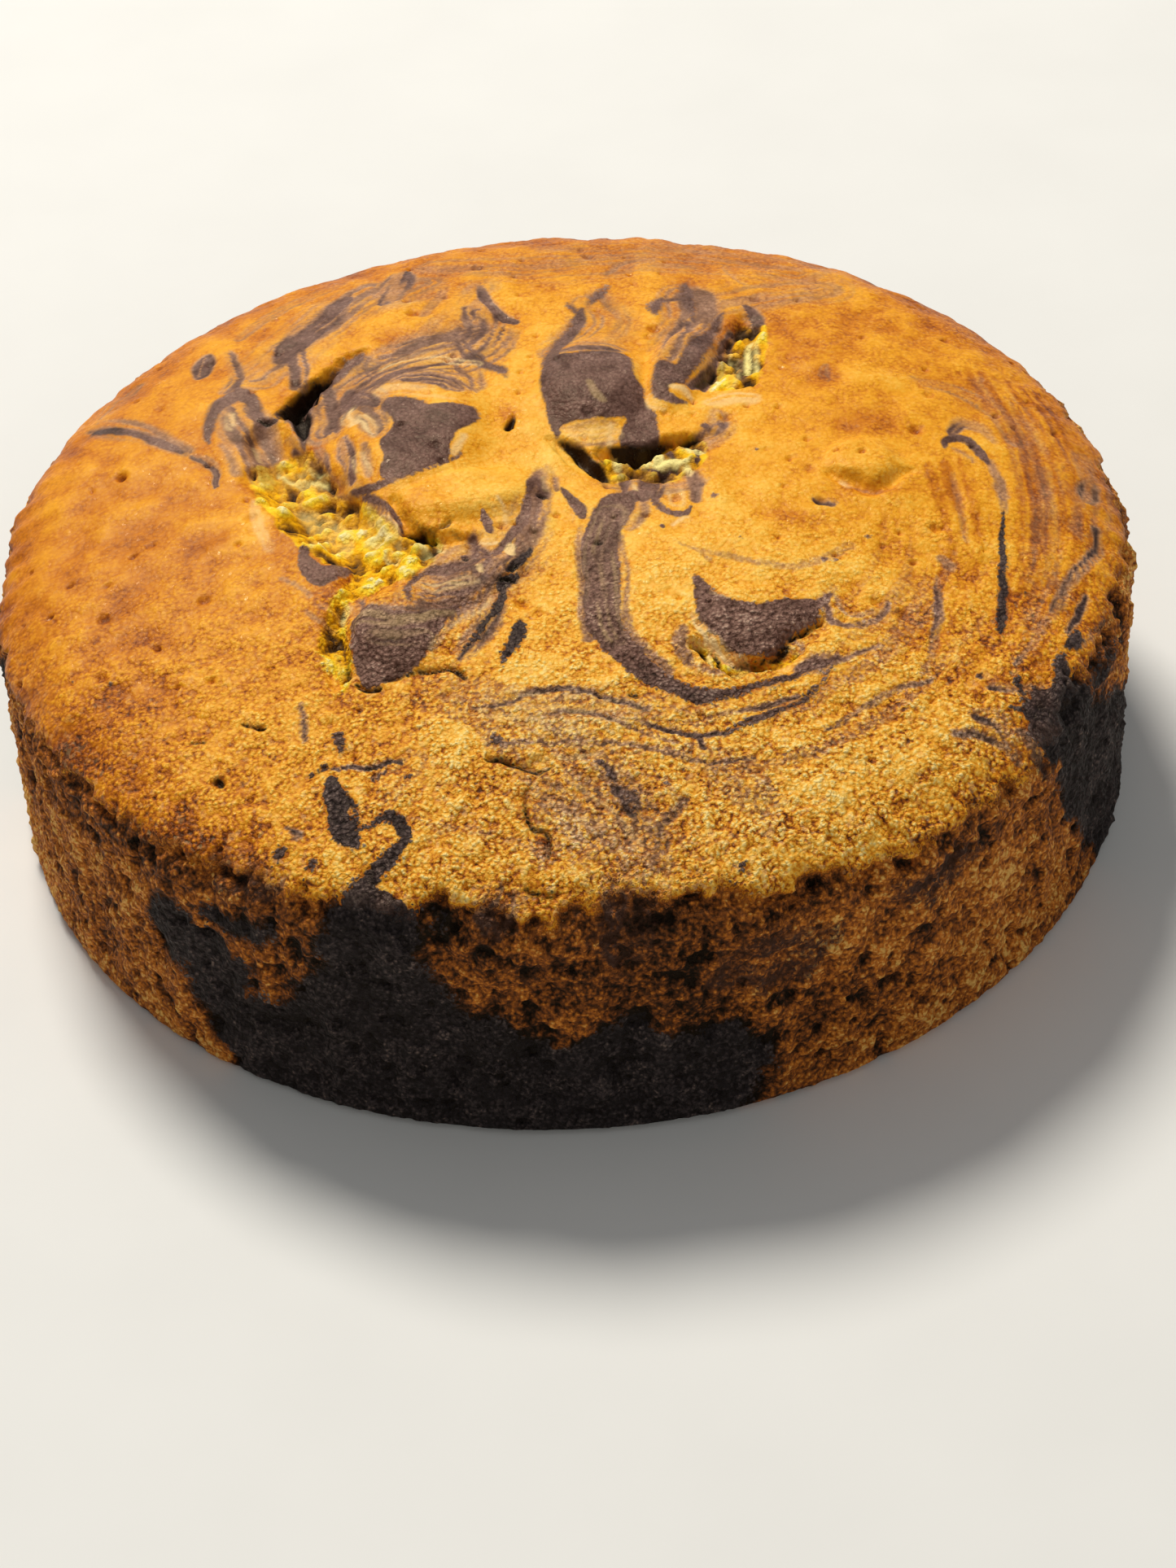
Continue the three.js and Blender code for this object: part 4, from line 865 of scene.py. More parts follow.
TORN_EDGE = (-0.6, 0.8)
BARE_WALL_EDGE = (-0.5, 0.7)
CRUST_LIP = 0.6
CRUST_LIP_ABOVE = ((-1.4, 0.8), (1, 6))  # distances above the wall's edge
UNDERCUT = 1.1
UNDERCUT_BELOW = ((0, 0.5), (1, 4))  # distances below the wall's edge
UNDERCUT_PATCHES = (5, 64)
UNDERCUT_PATCH_EDGE = (0, 0.5)
PLEAT_COUNT = 97
PLEAT_WAVES = ((30, 1.5, 61),)
PLEAT_HEIGHT = 0.1
PLEAT_CHANGES = ((22, 0.3, 62),)  # how their height changes round the cake
PLEAT_START = (104, 114)
CLEFT_DEPTH = 1.8
CLEFT_EDGE = (-0.5, 1.4)
VEIL_GROOVE = 0.35
FOOT_START = (0, 4)  # heights over which the relief comes in
FOOT_RELIEF = 0.15  # share of the relief that the foot has


# ---- Steps and noise --------------------------------------------------------------------------


def smoothstep(value, low, high):
    t = np.clip((value - low) / (high - low), 0, 1)
    return t * t * (3 - 2 * t)


def zone(value, amount, start, end):
    """A change that comes in from start to end."""
    return amount * smoothstep(value, start, end)


def window(value, rise, fall):
    """0, then 1 after the rise, then 0 again after the fall."""
    return smoothstep(value, *rise) * (1 - smoothstep(value, *fall))


def bump(value, centre, reach):
    return np.exp(-((value - centre) / reach) ** 2)


def grid_value(i, j):
    s = np.sin(i * 127.1 + j * 311.7) * 43758.5453
    return s - np.floor(s)


def flat_noise(x, y, repeat=None):
    """The solid's own smooth noise, from -1 to 1."""
    i = np.floor(x)
    j = np.floor(y)
    left = i if repeat is None else np.fmod(i, repeat)
    right = i + 1 if repeat is None else np.fmod(i + 1, repeat)
    u = smoothstep(x - i, 0, 1)
    v = smoothstep(y - j, 0, 1)
    near = grid_value(left, j) * (1 - u) + grid_value(right, j) * u
    far = grid_value(left, j + 1) * (1 - u) + grid_value(right, j + 1) * u
    return 2 * (near * (1 - v) + far * v) - 1


def cell_value(i, j, k, seed):
    """A repeatable random number from 0 to 1 for a cell of space."""
    h = (i * 73856093) ^ (j * 19349663) ^ (k * 83492791) ^ (seed * 40503)
    h = h & 0xFFFFFFFF
    h = ((h ^ (h >> 15)) * 0x2C1B3C6D) & 0xFFFFFFFF
    h = ((h ^ (h >> 12)) * 0x297A2D39) & 0xFFFFFFFF
    h = h ^ (h >> 15)
    return (h & 0xFFFFFF) / float(0xFFFFFF)


def noise(points, size, seed):
    """Smooth noise in space from -1 to 1, with bumps of the given size."""
    scaled = points / size
    base = np.floor(scaled)
    part = smoothstep(scaled - base, 0, 1)
    base = base.astype(np.int64)
    total = np.zeros(len(points))
    for corner in range(8):
        step = np.array([corner & 1, (corner >> 1) & 1, (corner >> 2) & 1])
        weight = np.prod(np.where(step, part, 1 - part), axis=1)
        total += weight * cell_value(*(base + step).T, seed)
    return 2 * total - 1


def layers(points, rows):
    """Layers of noise added up: (size of the bumps, amount, seed)."""
    return sum(amount * noise(points, size, seed) for size, amount, seed in rows)


def cells(points, size, seed):
    """Distance to the nearest scattered cell centre, in cell sizes, and that cell's own number."""
    scaled = points / size
    base = np.floor(scaled).astype(np.int64)
    nearest = np.full(len(points), 9.0)
    number = np.zeros(len(points))
    for shift in np.ndindex(3, 3, 3):
        cell = base + np.array(shift) - 1
        centre = np.stack([cell_value(*cell.T, seed + n) for n in range(3)], axis=1)
        away = np.linalg.norm(cell + centre - scaled, axis=1)
        closer = away < nearest
        nearest = np.where(closer, away, nearest)
        number = np.where(closer, cell_value(*cell.T, seed + 7), number)
    return nearest, number


def warped(x, y, points, warps, seed):
    """Places moved about a little, so that what is drawn from them is uneven."""
    for n, (size, reach) in enumerate(warps):
        x = x + reach * noise(points, size, seed + n)
        y = y + reach * noise(points, size, seed + SECOND_SEED + n)
    return x, y


# ---- Distance fields of lines and outlines ----------------------------------------------------


def through(rows, closed=False):
    """A smooth line through the rows, which may carry a half width after x and y."""
    rows = np.array(rows, dtype=float)
    if closed:
        before, after, last = rows[-1:], rows[:2], len(rows)
    else:
        before, after, last = rows[:1], rows[-1:], len(rows) - 1
    padded = np.concatenate([before, rows, after])
    pieces = []
    for k in range(last):
        p0, p1, p2, p3 = padded[k:k + 4]
        for t in np.arange(CURVE_STEPS) / CURVE_STEPS:
            bend = (2 * p1 + (p2 - p0) * t + (2 * p0 - 5 * p1 + 4 * p2 - p3) * t * t
                    + (3 * p1 - p0 - 3 * p2 + p3) * t ** 3)
            pieces.append(bend / 2)
    pieces.append(padded[last + 1] if closed else rows[-1])
    return np.array(pieces)


def near_line(x, y, line, margin):
    """Which points are in the line's own box, grown by the margin."""
    low = line[:, :2].min(axis=0) - margin
    high = line[:, :2].max(axis=0) + margin
    return np.flatnonzero((x > low[0]) & (x < high[0]) & (y > low[1]) & (y < high[1]))


def along(x, y, start, end):
    """Place of the nearest point on a straight piece, from 0 to 1, and the distance to it."""
    dx, dy = end[0] - start[0], end[1] - start[1]
    t = ((x - start[0]) * dx + (y - start[1]) * dy) / (dx * dx + dy * dy + TINY)
    t = np.clip(t, 0, 1)
    return t, np.hypot(x - start[0] - t * dx, y - start[1] - t * dy)


def line_frame(x, y, rows, margin):
    """For the points near a line: which they are, how far inside it, its half width there,
    how far along it and how far across it."""
    line = through(rows)
    near = near_line(x, y, line, margin)
    px, py = x[near], y[near]
    inside = np.full(len(near), -FAR)
    half = np.ones(len(near))
    passed = np.zeros(len(near))
    across = np.zeros(len(near))
    length = 0.0
    for start, end in zip(line[:-1], line[1:]):
        t, away = along(px, py, start, end)
        width = start[2] * (1 - t) + end[2] * t
        closer = width - away > inside
        dx, dy = end[:2] - start[:2]
        side = np.sign((px - start[0]) * dy - (py - start[1]) * dx)
        inside = np.where(closer, width - away, inside)
        half = np.where(closer, width, half)
        passed = np.where(closer, length + t * math.hypot(dx, dy), passed)
        across = np.where(closer, side * away, across)
        length += math.hypot(dx, dy)
    return near, inside, half, passed, across


def streaks(passed, across, start):
    """Fine stripes from -1 to 1 that run along a line."""
    return flat_noise(across / STREAK_WIDTH + STREAK_SHIFTS[0] * start,
                      passed / STREAK_LENGTH + STREAK_SHIFTS[1] * start)


def line_field(x, y, rows):
    """How far inside a line of changing width each point is; negative outside."""
    field = np.full(len(x), -FIELD_REACH)
    near, inside, _, passed, across = line_frame(x, y, rows, FIELD_REACH)
    rough = LINE_ROUGHNESS * streaks(passed, across, rows[0][0])
    field[near] = np.maximum(inside + rough, -FIELD_REACH)
    return field


def patch_field(x, y, outline):
    """How far inside a closed outline each point is; negative outside."""
    line = through(outline, closed=True)
    field = np.full(len(x), -FIELD_REACH)
    near = near_line(x, y, line, FIELD_REACH)
    px, py = x[near], y[near]
    nearest = np.full(len(near), FAR)
    inside = np.zeros(len(near), dtype=bool)
    for start, end in zip(line[:-1], line[1:]):
        away = along(px, py, start, end)[1]
        nearest = np.minimum(nearest, away)
        crosses = (start[1] > py) != (end[1] > py)
        rise = np.where(end[1] == start[1], TINY, end[1] - start[1])
        inside ^= crosses & (px < (end[0] - start[0]) * (py - start[1]) / rise + start[0])
    field[near] = np.maximum(np.where(inside, nearest, -nearest), -FIELD_REACH)
    return field


def veil_field(x, y, strength, rows):
    """A streaky tint that is full on the line and fades out beyond its half width."""
    tint = np.zeros(len(x))
    margin = VEIL_FADE[1] * max(row[2] for row in rows) + VEIL_MARGIN
    near, inside, half, passed, across = line_frame(x, y, rows, margin)
    away = (half - inside) / np.maximum(half, VEIL_LEAST_WIDTH)
    stripes = smoothstep(streaks(passed, across, rows[0][1]), *STRIPE_EDGE)
    stripes = VEIL_STRIPES[0] + VEIL_STRIPES[1] * stripes
    tint[near] = strength * stripes * (1 - smoothstep(away, *VEIL_FADE))
    return tint


def union(fields):
    return np.max(np.stack(list(fields)), axis=0)


# ---- The solid's form, worked out for arrays of points ----------------------------------------


def split_depth(x, y, rows):
    """Depth of a split at each point: full on its line, with steep walls at its half width."""
    deepest = np.zeros(len(x))
    line = np.array(rows, dtype=float)
    near = near_line(x, y, line, SPLIT_MARGIN * line[:, 2].max())
    best = np.zeros(len(near))
    for start, end in zip(line[:-1], line[1:]):
        t, away = along(x[near], y[near], start, end)
        width = start[2] * (1 - t) + end[2] * t
        depth = start[3] * (1 - t) + end[3] * t
        best = np.maximum(best, (1 - smoothstep(away / width, *SPLIT_EDGE)) * depth)
    deepest[near] = best
    return deepest


def lobe_height(x, y, lobe):
    cx, cy, half_x, half_y, turn, height = lobe
    c, s = math.cos(math.radians(turn)), math.sin(math.radians(turn))
    across = ((x - cx) * c + (y - cy) * s) / half_x
    up = ((y - cy) * c - (x - cx) * s) / half_y
    return height * (1 - smoothstep(np.hypot(across, up), LOBE_EDGE, LOBE_FOOT))


def top_relief(x, y):
    lobes = union(lobe_height(x, y, lobe) for lobe in LOBES.values())
    wx, wy = warped(x, y, np.stack([x, y, 0 * x], axis=1), SPLIT_WARPS, SPLIT_SEED)
    splits = union(split_depth(wx, wy, rows) for rows in SPLITS.values())
    return lobes - splits + WAVE_HEIGHT * flat_noise(x / WAVE_LENGTH, y / WAVE_LENGTH)


def wall_relief(angle, z):
    out = sum(height * np.sin(count * angle + start) for count, height, start in CREASES)
    turn = np.mod(angle, 2 * math.pi) * CAKE_RADIUS / CRUMB_LENGTH
    crumb = flat_noise(turn, z / CRUMB_LENGTH, CRUMB_PATCHES)
    return out - CRUMB_DEPTH * smoothstep(crumb, *CRUMB_EDGE)


def lip_height(elevation):
    """How far the lip of crust stands out at an elevation on the shoulder, in radians."""
    return LIP_HEIGHT * math.cos(LIP_SHARPNESS * (elevation - math.radians(LIP_ANGLE))) ** 2


def dome_height(radius):
    return DOME_RISE * (1 - (radius / CAKE_RADIUS) ** DOME_POWER)


def dome_points(radius, angle):
    x = radius * np.cos(angle)
    y = radius * np.sin(angle)
    z = WALL_HEIGHT + SHOULDER_RISE + dome_height(radius) + top_relief(x, y)
    return np.stack([x, y, z], axis=1)


def shoulder_points(elevation, angle):
    flat = math.sin(elevation)
    radius = CAKE_RADIUS - SHOULDER_WIDTH * (1 - math.cos(elevation))
    relief = lip_height(elevation) + wall_relief(angle, np.full(len(angle), WALL_HEIGHT))
    out = radius + relief * (1 - flat)
    x = out * np.cos(angle)
    y = out * np.sin(angle)
    z = WALL_HEIGHT + SHOULDER_RISE * flat + dome_height(radius)
    return np.stack([x, y, z + top_relief(x, y) * flat], axis=1)


def wall_points(z, angle):
    above = z / WALL_HEIGHT
    rise = np.full(len(angle), z)
    lip = lip_height(0) * smoothstep(above, *LIP_START)
    relief = wall_relief(angle, rise) * smoothstep(z, 0, CRUMB_LENGTH)
    radius = CAKE_RADIUS + BASE_FLARE * (1 - above) + relief + lip
    return np.stack([radius * np.cos(angle), radius * np.sin(angle), rise], axis=1)


# ---- The fine skin: points ring by ring, faces and the map for baking -------------------------


def ring_angles(count):
    return 2 * math.pi * np.arange(count) / count


def skin_points():
    """Points of every ring, outward directions, and the place of each ring's first point."""
    rings, outs = [], []
    dome_edge = CAKE_RADIUS - SHOULDER_WIDTH
    for k in range(RIM_RING + 1):
        angle = ring_angles(max(1, RING_STEP * k))
        if k <= DOME_RINGS:
            radius = np.full(len(angle), dome_edge * k / DOME_RINGS)
            rings.append(dome_points(radius, angle))
            lean = DOME_LEAN * (k / DOME_RINGS) ** DOME_LEAN_POWER
        else:
            elevation = math.radians(90 * (1 - (k - DOME_RINGS) / SHOULDER_RINGS))
            rings.append(shoulder_points(elevation, angle))
            lean = max(DOME_LEAN, math.pi / 2 - elevation)
        outs.append(out_directions(angle, lean))
    angle = ring_angles(RIM_COUNT)
    for row in range(1, WALL_ROWS + 1):
        z = WALL_HEIGHT + (BASE_BEVEL - WALL_HEIGHT) * row / WALL_ROWS
        rings.append(wall_points(z, angle))
        outs.append(out_directions(angle, math.pi / 2))
    for k in range(FOOT_RINGS, -1, -1):
        radius = (CAKE_RADIUS + BASE_FLARE - BASE_BEVEL) * k / FOOT_RINGS
        count = RIM_COUNT if k == FOOT_RINGS else max(1, RING_STEP * k)
        angle = ring_angles(count)
        rings.append(np.stack([radius * np.cos(angle), radius * np.sin(angle),
                               np.zeros(count)], axis=1))
        outs.append(out_directions(angle, math.pi))
    starts = np.cumsum([0] + [len(ring) for ring in rings])
    return np.concatenate(rings), np.concatenate(outs), starts


def out_directions(angle, lean):
    """Directions that lean outwards from straight up by an angle in radians."""
    level = math.sin(lean)
    return np.stack([level * np.cos(angle), level * np.sin(angle),
                     np.full(len(angle), math.cos(lean))], axis=1)


def disc_faces(inner, outer, k):
    """Faces between ring k - 1 and ring k of a disc of rings with six more points each."""
    side = np.repeat(np.arange(RING_STEP), k)
    step = np.tile(np.arange(k), RING_STEP)
    inner_count = max(1, RING_STEP * (k - 1))
    outer_here = outer + side * k + step
    outer_next = outer + (side * k + step + 1) % (RING_STEP * k)
    inner_here = inner + (side * (k - 1) + step) % inner_count
    faces = [np.stack([inner_here, outer_here, outer_next], axis=1)]
    if k > 1:
        keep = step < k - 1
        inner_next = inner + (side * (k - 1) + step + 1) % inner_count
        faces.append(np.stack([inner_here, outer_next, inner_next], axis=1)[keep])
    return np.concatenate(faces)


def band_faces(upper, lower, count):
    """Faces between two rings with the same number of points, cut the other way on odd ones."""
    here = np.arange(count)
    after = (here + 1) % count
    first = np.stack([upper + here, lower + here, lower + after], axis=1)
    second = np.stack([upper + here, lower + after, upper + after], axis=1)
    swap = np.stack([upper + here, lower + here, upper + after], axis=1)
    other = np.stack([upper + after, lower + here, lower + after], axis=1)
    odd = (here + upper // count) % 2 == 1
    return np.concatenate([first[~odd], second[~odd], swap[odd], other[odd]])


def skin_faces(starts):
    """Faces of the top, the wall and the foot."""
    top = [disc_faces(starts[k - 1], starts[k], k) for k in range(1, RIM_RING + 1)]
    wall = [band_faces(starts[k], starts[k + 1], RIM_COUNT)
            for k in range(RIM_RING, RIM_RING + WALL_ROWS + 1)]
    edge = RIM_RING + WALL_ROWS + 1
    inner_count = RING_STEP * (FOOT_RINGS - 1)
    foot = [stitched(starts[edge], RIM_COUNT, starts[edge + 1], inner_count)]
    for n, k in enumerate(range(FOOT_RINGS - 1, 0, -1), start=edge + 1):
        foot.append(disc_faces(starts[n + 1], starts[n], k)[:, ::-1])
    return np.concatenate(top), np.concatenate(wall), np.concatenate(foot)


def stitched(outer, outer_count, inner, inner_count):
    """Faces, seen from below, between two rings with different numbers of points."""
    faces = []
    i = j = 0
    while i < outer_count or j < inner_count:
        if j >= inner_count or (i + 1) * inner_count <= (j + 1) * outer_count:
            faces.append((outer + i, inner + j % inner_count,
                          outer + (i + 1) % outer_count))
            i += 1
        else:
            faces.append((outer + i % outer_count, inner + j,
                          inner + (j + 1) % inner_count))
            j += 1
    return np.array(faces)


def loop_map(starts, top, wall, foot):
    """The map coordinates of every face corner."""
    total = starts[-1]
    ring_of = np.searchsorted(starts, np.arange(total), side="right") - 1
    count_of = np.diff(starts)[ring_of]
    turn = (np.arange(total) - starts[ring_of]) / count_of

    def disc(faces, centre, share):
        spread = share[ring_of[faces]] * centre[2]
        angle = 2 * math.pi * turn[faces]
        return np.stack([centre[0] + spread * np.cos(angle),
                         centre[1] + spread * np.sin(angle)], axis=2)

    rings = np.arange(len(starts) - 1)
    top_uv = disc(top, TOP_MAP, rings / RIM_RING)
    last = len(rings) - 1
    foot_uv = disc(foot, FOOT_MAP, (last - rings) / FOOT_RINGS)
    wall_turn = turn[wall]
    wraps = wall_turn.max(axis=1) - wall_turn.min(axis=1) > 0.5
    wall_turn = np.where(wraps[:, None] & (wall_turn < 0.5), wall_turn + 1, wall_turn)
    down = (ring_of[wall] - RIM_RING) / (WALL_ROWS + 1)
    second = wall_turn.mean(axis=1) > 0.5
    left = np.where(second, STRIPS[1][0], STRIPS[0][0])[:, None]
    up = np.where(second[:, None], wall_turn - 0.5, wall_turn) * 2
    wall_uv = np.stack([left + down * STRIPS[0][1], STRIP_START + STRIP_LENGTH * up], axis=2)
    return np.concatenate([top_uv, wall_uv, foot_uv]).reshape(-1, 2)


# ---- Fields that tell the material what each point is -----------------------------------------


def from_front(angle):
    """Degrees from the front, to the right, from -180 to 180."""
    return np.mod(np.degrees(angle) + 270, 360) - 180


def on_wall(rows, lap):
    """A mark of the wall, from degrees to millimetres along the wall."""
    return [((degrees + lap) * WALL_MM, *rest) for degrees, *rest in rows]


def wall_marks(turned, height, points):
    """Chocolate and tint of the wall, the underside and the shoulder."""
    x, y = warped(turned * WALL_MM, height, points, WARPS, WALL_SEED)
    x, y = (place + layers(points, rows) for place, rows in zip((x, y), WALL_ROUGHNESS))
    solid, tint = [], []
    for lap in LAPS:
        solid += [patch_field(x, y, on_wall(outline, lap)) for outline in WALL_PATCHES.values()]
        solid += [line_field(x, y, on_wall(rows, lap)) for rows in WALL_LINES.values()]
        tint += [veil_field(x, y, strength, on_wall(rows, lap))
                 for strength, rows in WALL_VEILS.values()]
    return union(solid), union(tint)


def evenly(rows):
    """A guide line, cut at evenly spaced places."""
    line = through(rows)
    places = np.linspace(0, 1, FAN_PLACES)
    own_places = np.linspace(0, 1, len(line))
    return np.stack([np.interp(places, own_places, line[:, axis]) for axis in (0, 1)], axis=1)


def fan_stripes(fans, widths):
    """Stripes worked out from the guide lines of each fan."""
    for count, strength, first, last in fans:
        first, last = evenly(first), evenly(last)
        for k in range(count):
            share = (k + 0.5) / count
            chance = cell_value(k, count, *FAN_SEEDS)
            width = widths[0] + (widths[1] - widths[0]) * chance
            rows = first * (1 - share) + last * share
            yield strength * (0.5 + 0.5 * chance), [(px, py, width) for px, py in rows]


def swirl(x, y, points):
    """Fine lines that run round the cake in the crust, from 0 to 1."""
    x, y = x - SWIRL_CENTRE[0], y - SWIRL_CENTRE[1]
    angle = np.arctan2(y, x)
    radius = np.hypot(x, y) + layers(points, SWIRL_WAVES)
    length = angle * SWIRL_RADIUS / SWIRL_LENGTH
    fine = flat_noise(radius / SWIRL_PITCH, length)
    broad = flat_noise(radius / (SWIRL_BROAD[0] * SWIRL_PITCH) + SWIRL_SHIFT,
                       length / SWIRL_BROAD[1])
    where = window(np.degrees(angle), *SWIRL_TURN) * window(radius, *SWIRL_BAND)
    return where * smoothstep(fine + 0.6 * broad, 0.0, 0.9)


def top_marks(x, y, points):
    """The marks of the top by name, and how dark it baked, with spots of painted shade and light.
    """
    wx, wy = warped(x, y, points, WARPS, TOP_SEED)
    rx, ry = warped(x, y, points, SPLIT_WARPS, SPLIT_SEED)

    def tints(entries):
        return [veil_field(wx, wy, strength, rows) for strength, rows in entries]

    def lines(table):
        return [line_field(wx, wy, rows) for rows in table.values()]

    chocolate = dict(zip(COCOA_LINES, lines(COCOA_LINES)))
    chocolate.update((name, patch_field(wx, wy, line)) for name, line in COCOA_PATCHES.items())
    spots = [radius - np.hypot(wx - cx, wy - cy) for cx, cy, radius in COCOA_SPOTS]
    rings = swirl(x, y, points)
    marks = {}
    marks["cocoa"] = np.minimum(union([*chocolate.values(), *spots]), -union(lines(GOLD_LINES)))
    marks["dark"] = union([
        smoothstep(union(chocolate[name] for name in DARK_MARKS), *DARK_EDGE),
        zone(-y, *FRONT_DARK), zone(y, *BACK_DARK), zone(np.hypot(x, y), *RIM_DARK)])
    marks["veil_and_shade"] = union([
        *(tint for group in VEILS_AND_SHADES.values() for tint in tints(group)),
        *tints(fan_stripes(FANS, FAN_WIDTHS)), SWIRL_VEIL * rings])
    marks["pale_and_sheen"] = union(tints(PALES_AND_SHEEN))
    marks["torn"] = union([*(patch_field(rx, ry, line) for line in TORN_PATCHES.values()),
                           *(line_field(rx, ry, rows) for rows in TORN_LINES.values())])
    marks["gap"] = union(lines(GAP_LINES))
    marks["bake_and_shading"] = (TOP_BAKE + SWIRL_BAKE * rings
                     + FAN_BAKE * union(tints(fan_stripes(BAKE_FANS, BAKE_FAN_WIDTHS))))
    for cx, cy, reach_x, reach_y, amount in BAKE_AND_SHADING_SPOTS:
        far = np.hypot((x - cx) / reach_x, (y - cy) / reach_y)
        marks["bake_and_shading"] += amount * np.exp(-far * far)
    return marks


def edge_height(angle, turned, points):
    """Height at which the crust ends and the torn wall begins, ragged all the way round."""
    lap = np.stack([CAKE_RADIUS * np.cos(angle), CAKE_RADIUS * np.sin(angle), 0 * angle], axis=1)
    degrees, level = np.array(WALL_EDGE).T
    smooth = np.interp(turned, degrees, level, period=360)
    return smooth + layers(lap, EDGE_WAVES) + layers(points, EDGE_ROUGHNESS)


def baked(points, turned, wall, top_bake_and_shading):
    """How dark the crust and the wall's crumb baked, from 0 to 1, with painted shade on the front
    of the wall and spots of painted shade and light on the top.
    """
    x, y, z = points.T
    brown, breadth, below = BROW, BROW_BREADTH, 0
    for centre, reach, amount, broader, on_wall in BROW_SPOTS:
        near = bump(turned, centre, reach)
        brown = brown + amount * near
        breadth = breadth + broader * near
        below = below + on_wall * near
    patches = smoothstep(noise(points, *BROW_PATCHES), *BROW_PATCH_EDGE)
    brow = brown * smoothstep(wall, -breadth, 0) * patches
    rim = smoothstep(np.hypot(x, y), *RIM_BAKE_START) * (RIM_BAKE - zone(-y, *RIM_BAKE_FRONT))
    wall_bake_and_shade = WALL_BAKE + zone(y, *WALL_BAKE_BACK) + below * smoothstep(z, *BROW_WALL)
    # The bump at the front is painted shade on the wall.
    for centre, reach, amount in WALL_BAKE_AND_SHADE_SPOTS:
        wall_bake_and_shade = wall_bake_and_shade + amount * bump(turned, centre, reach)
    return np.clip(np.where(wall > 0, wall_bake_and_shade, top_bake_and_shading + rim + brow), 0, 1)


def fields(points):
    """What each point is, by name; each becomes an attribute of the mesh."""
    x, y, z = points.T
    radius = np.hypot(x, y)
    angle = np.arctan2(y, x)
    turned = from_front(angle)
    shape = top_marks(x, y, points)
    below = z < BASE_BEVEL / 2
    side, side_veil = wall_marks(turned, np.where(below, radius - CAKE_RADIUS, z), points)
    side = side - FIELD_REACH * smoothstep(z, *WALL_MARKS_END)
    side_veil = side_veil * (1 - smoothstep(z, *WALL_TINTS_END))
    on_top = smoothstep(z, *TOP_START)
    cocoa = shape["cocoa"] * on_top - FIELD_REACH * (1 - on_top)
    # The marbling is softest at its edges at the back, where the crust is smooth.
    cocoa = cocoa * (1 - zone(y, *BACK_SOFTNESS))
    shape["cocoa"] = np.maximum(cocoa, side)
    shape["veil_and_shade"] = np.maximum(shape["veil_and_shade"] * on_top, side_veil)
    shape["pale_and_sheen"] = shape["pale_and_sheen"] * on_top
    for name in ("torn", "gap"):
        shape[name] = np.where(on_top > 0, shape[name], -FIELD_REACH)
    wall = edge_height(angle, turned, points) - z
    shape["wall"] = np.clip(wall, -FIELD_REACH, FIELD_REACH)
    shape["bake_and_shading"] = baked(points, turned, wall, shape["bake_and_shading"])
    grain = (GRAIN + zone(-y, *GRAIN_FRONT)) * (1 - zone(-x, *GRAIN_LEFT))
    shape["grit"] = np.where(wall > 0, WALL_GRAIN, grain)
    return shape


# ---- Fine relief ------------------------------------------------------------------------------


def pits(points, size, seed, none, depth, edge):
    """Small round pits in some of the cells."""
    away, number = cells(points, size, seed)
    return -depth * (number > none) * (1 - smoothstep(away, *edge))


def crumbs(points, size, seed, height, level):
    """Rounded crumbs, one in each cell."""
    return height * (level - cells(points, size, seed)[0])


def fine_relief(points, shape):
    """Outward move of each point and the height of its crumbs and pits, in millimetres."""
    x, y, z = points.T
    torn = smoothstep(shape["torn"], *TORN_EDGE)
    wall = smoothstep(shape["wall"], *BARE_WALL_EDGE)
    bare = np.maximum(torn, wall)
    foot = smoothstep(z, *FOOT_START)
    crust = layers(points, CRUST_WAVES) + shape["grit"] * layers(points, CRUST_GRAIN)
    crust = crust + sum(pits(points, *row) for row in PITS)
    small = crumbs(points, *SMALL_CRUMBS) + layers(points, CRUMB_GRAIN)
    holes = HOLE_DEPTH * smoothstep(noise(points, *HOLES), *HOLE_EDGE)
    crumb_wall = layers(points, WALL_WAVES) + small - holes
    crumb_torn = (crumbs(points, *LARGE_CRUMBS) + SMALL_ON_LARGE * small
                  + layers(points, TORN_WAVES) - holes)
    rise = crust * (1 - bare) + crumb_wall * wall * (1 - torn) + crumb_torn * torn
    lip = CRUST_LIP * window(-shape["wall"], *CRUST_LIP_ABOVE)
    undercut = (UNDERCUT * window(shape["wall"], *UNDERCUT_BELOW)
                * smoothstep(noise(points, *UNDERCUT_PATCHES), *UNDERCUT_PATCH_EDGE))
    pleats = (np.sin(PLEAT_COUNT * np.arctan2(y, x) + layers(points, PLEAT_WAVES))
              * smoothstep(np.hypot(x, y), *PLEAT_START)
              * (PLEAT_HEIGHT + layers(points, PLEAT_CHANGES)))
    cleft = CLEFT_DEPTH * smoothstep(shape["gap"], *CLEFT_EDGE)
    groove = VEIL_GROOVE * shape["veil_and_shade"] * (1 - bare)
    move = rise + lip - undercut + pleats * foot - cleft - groove
    return move * (FOOT_RELIEF + (1 - FOOT_RELIEF) * foot), rise


# ---- Materials --------------------------------------------------------------------------------

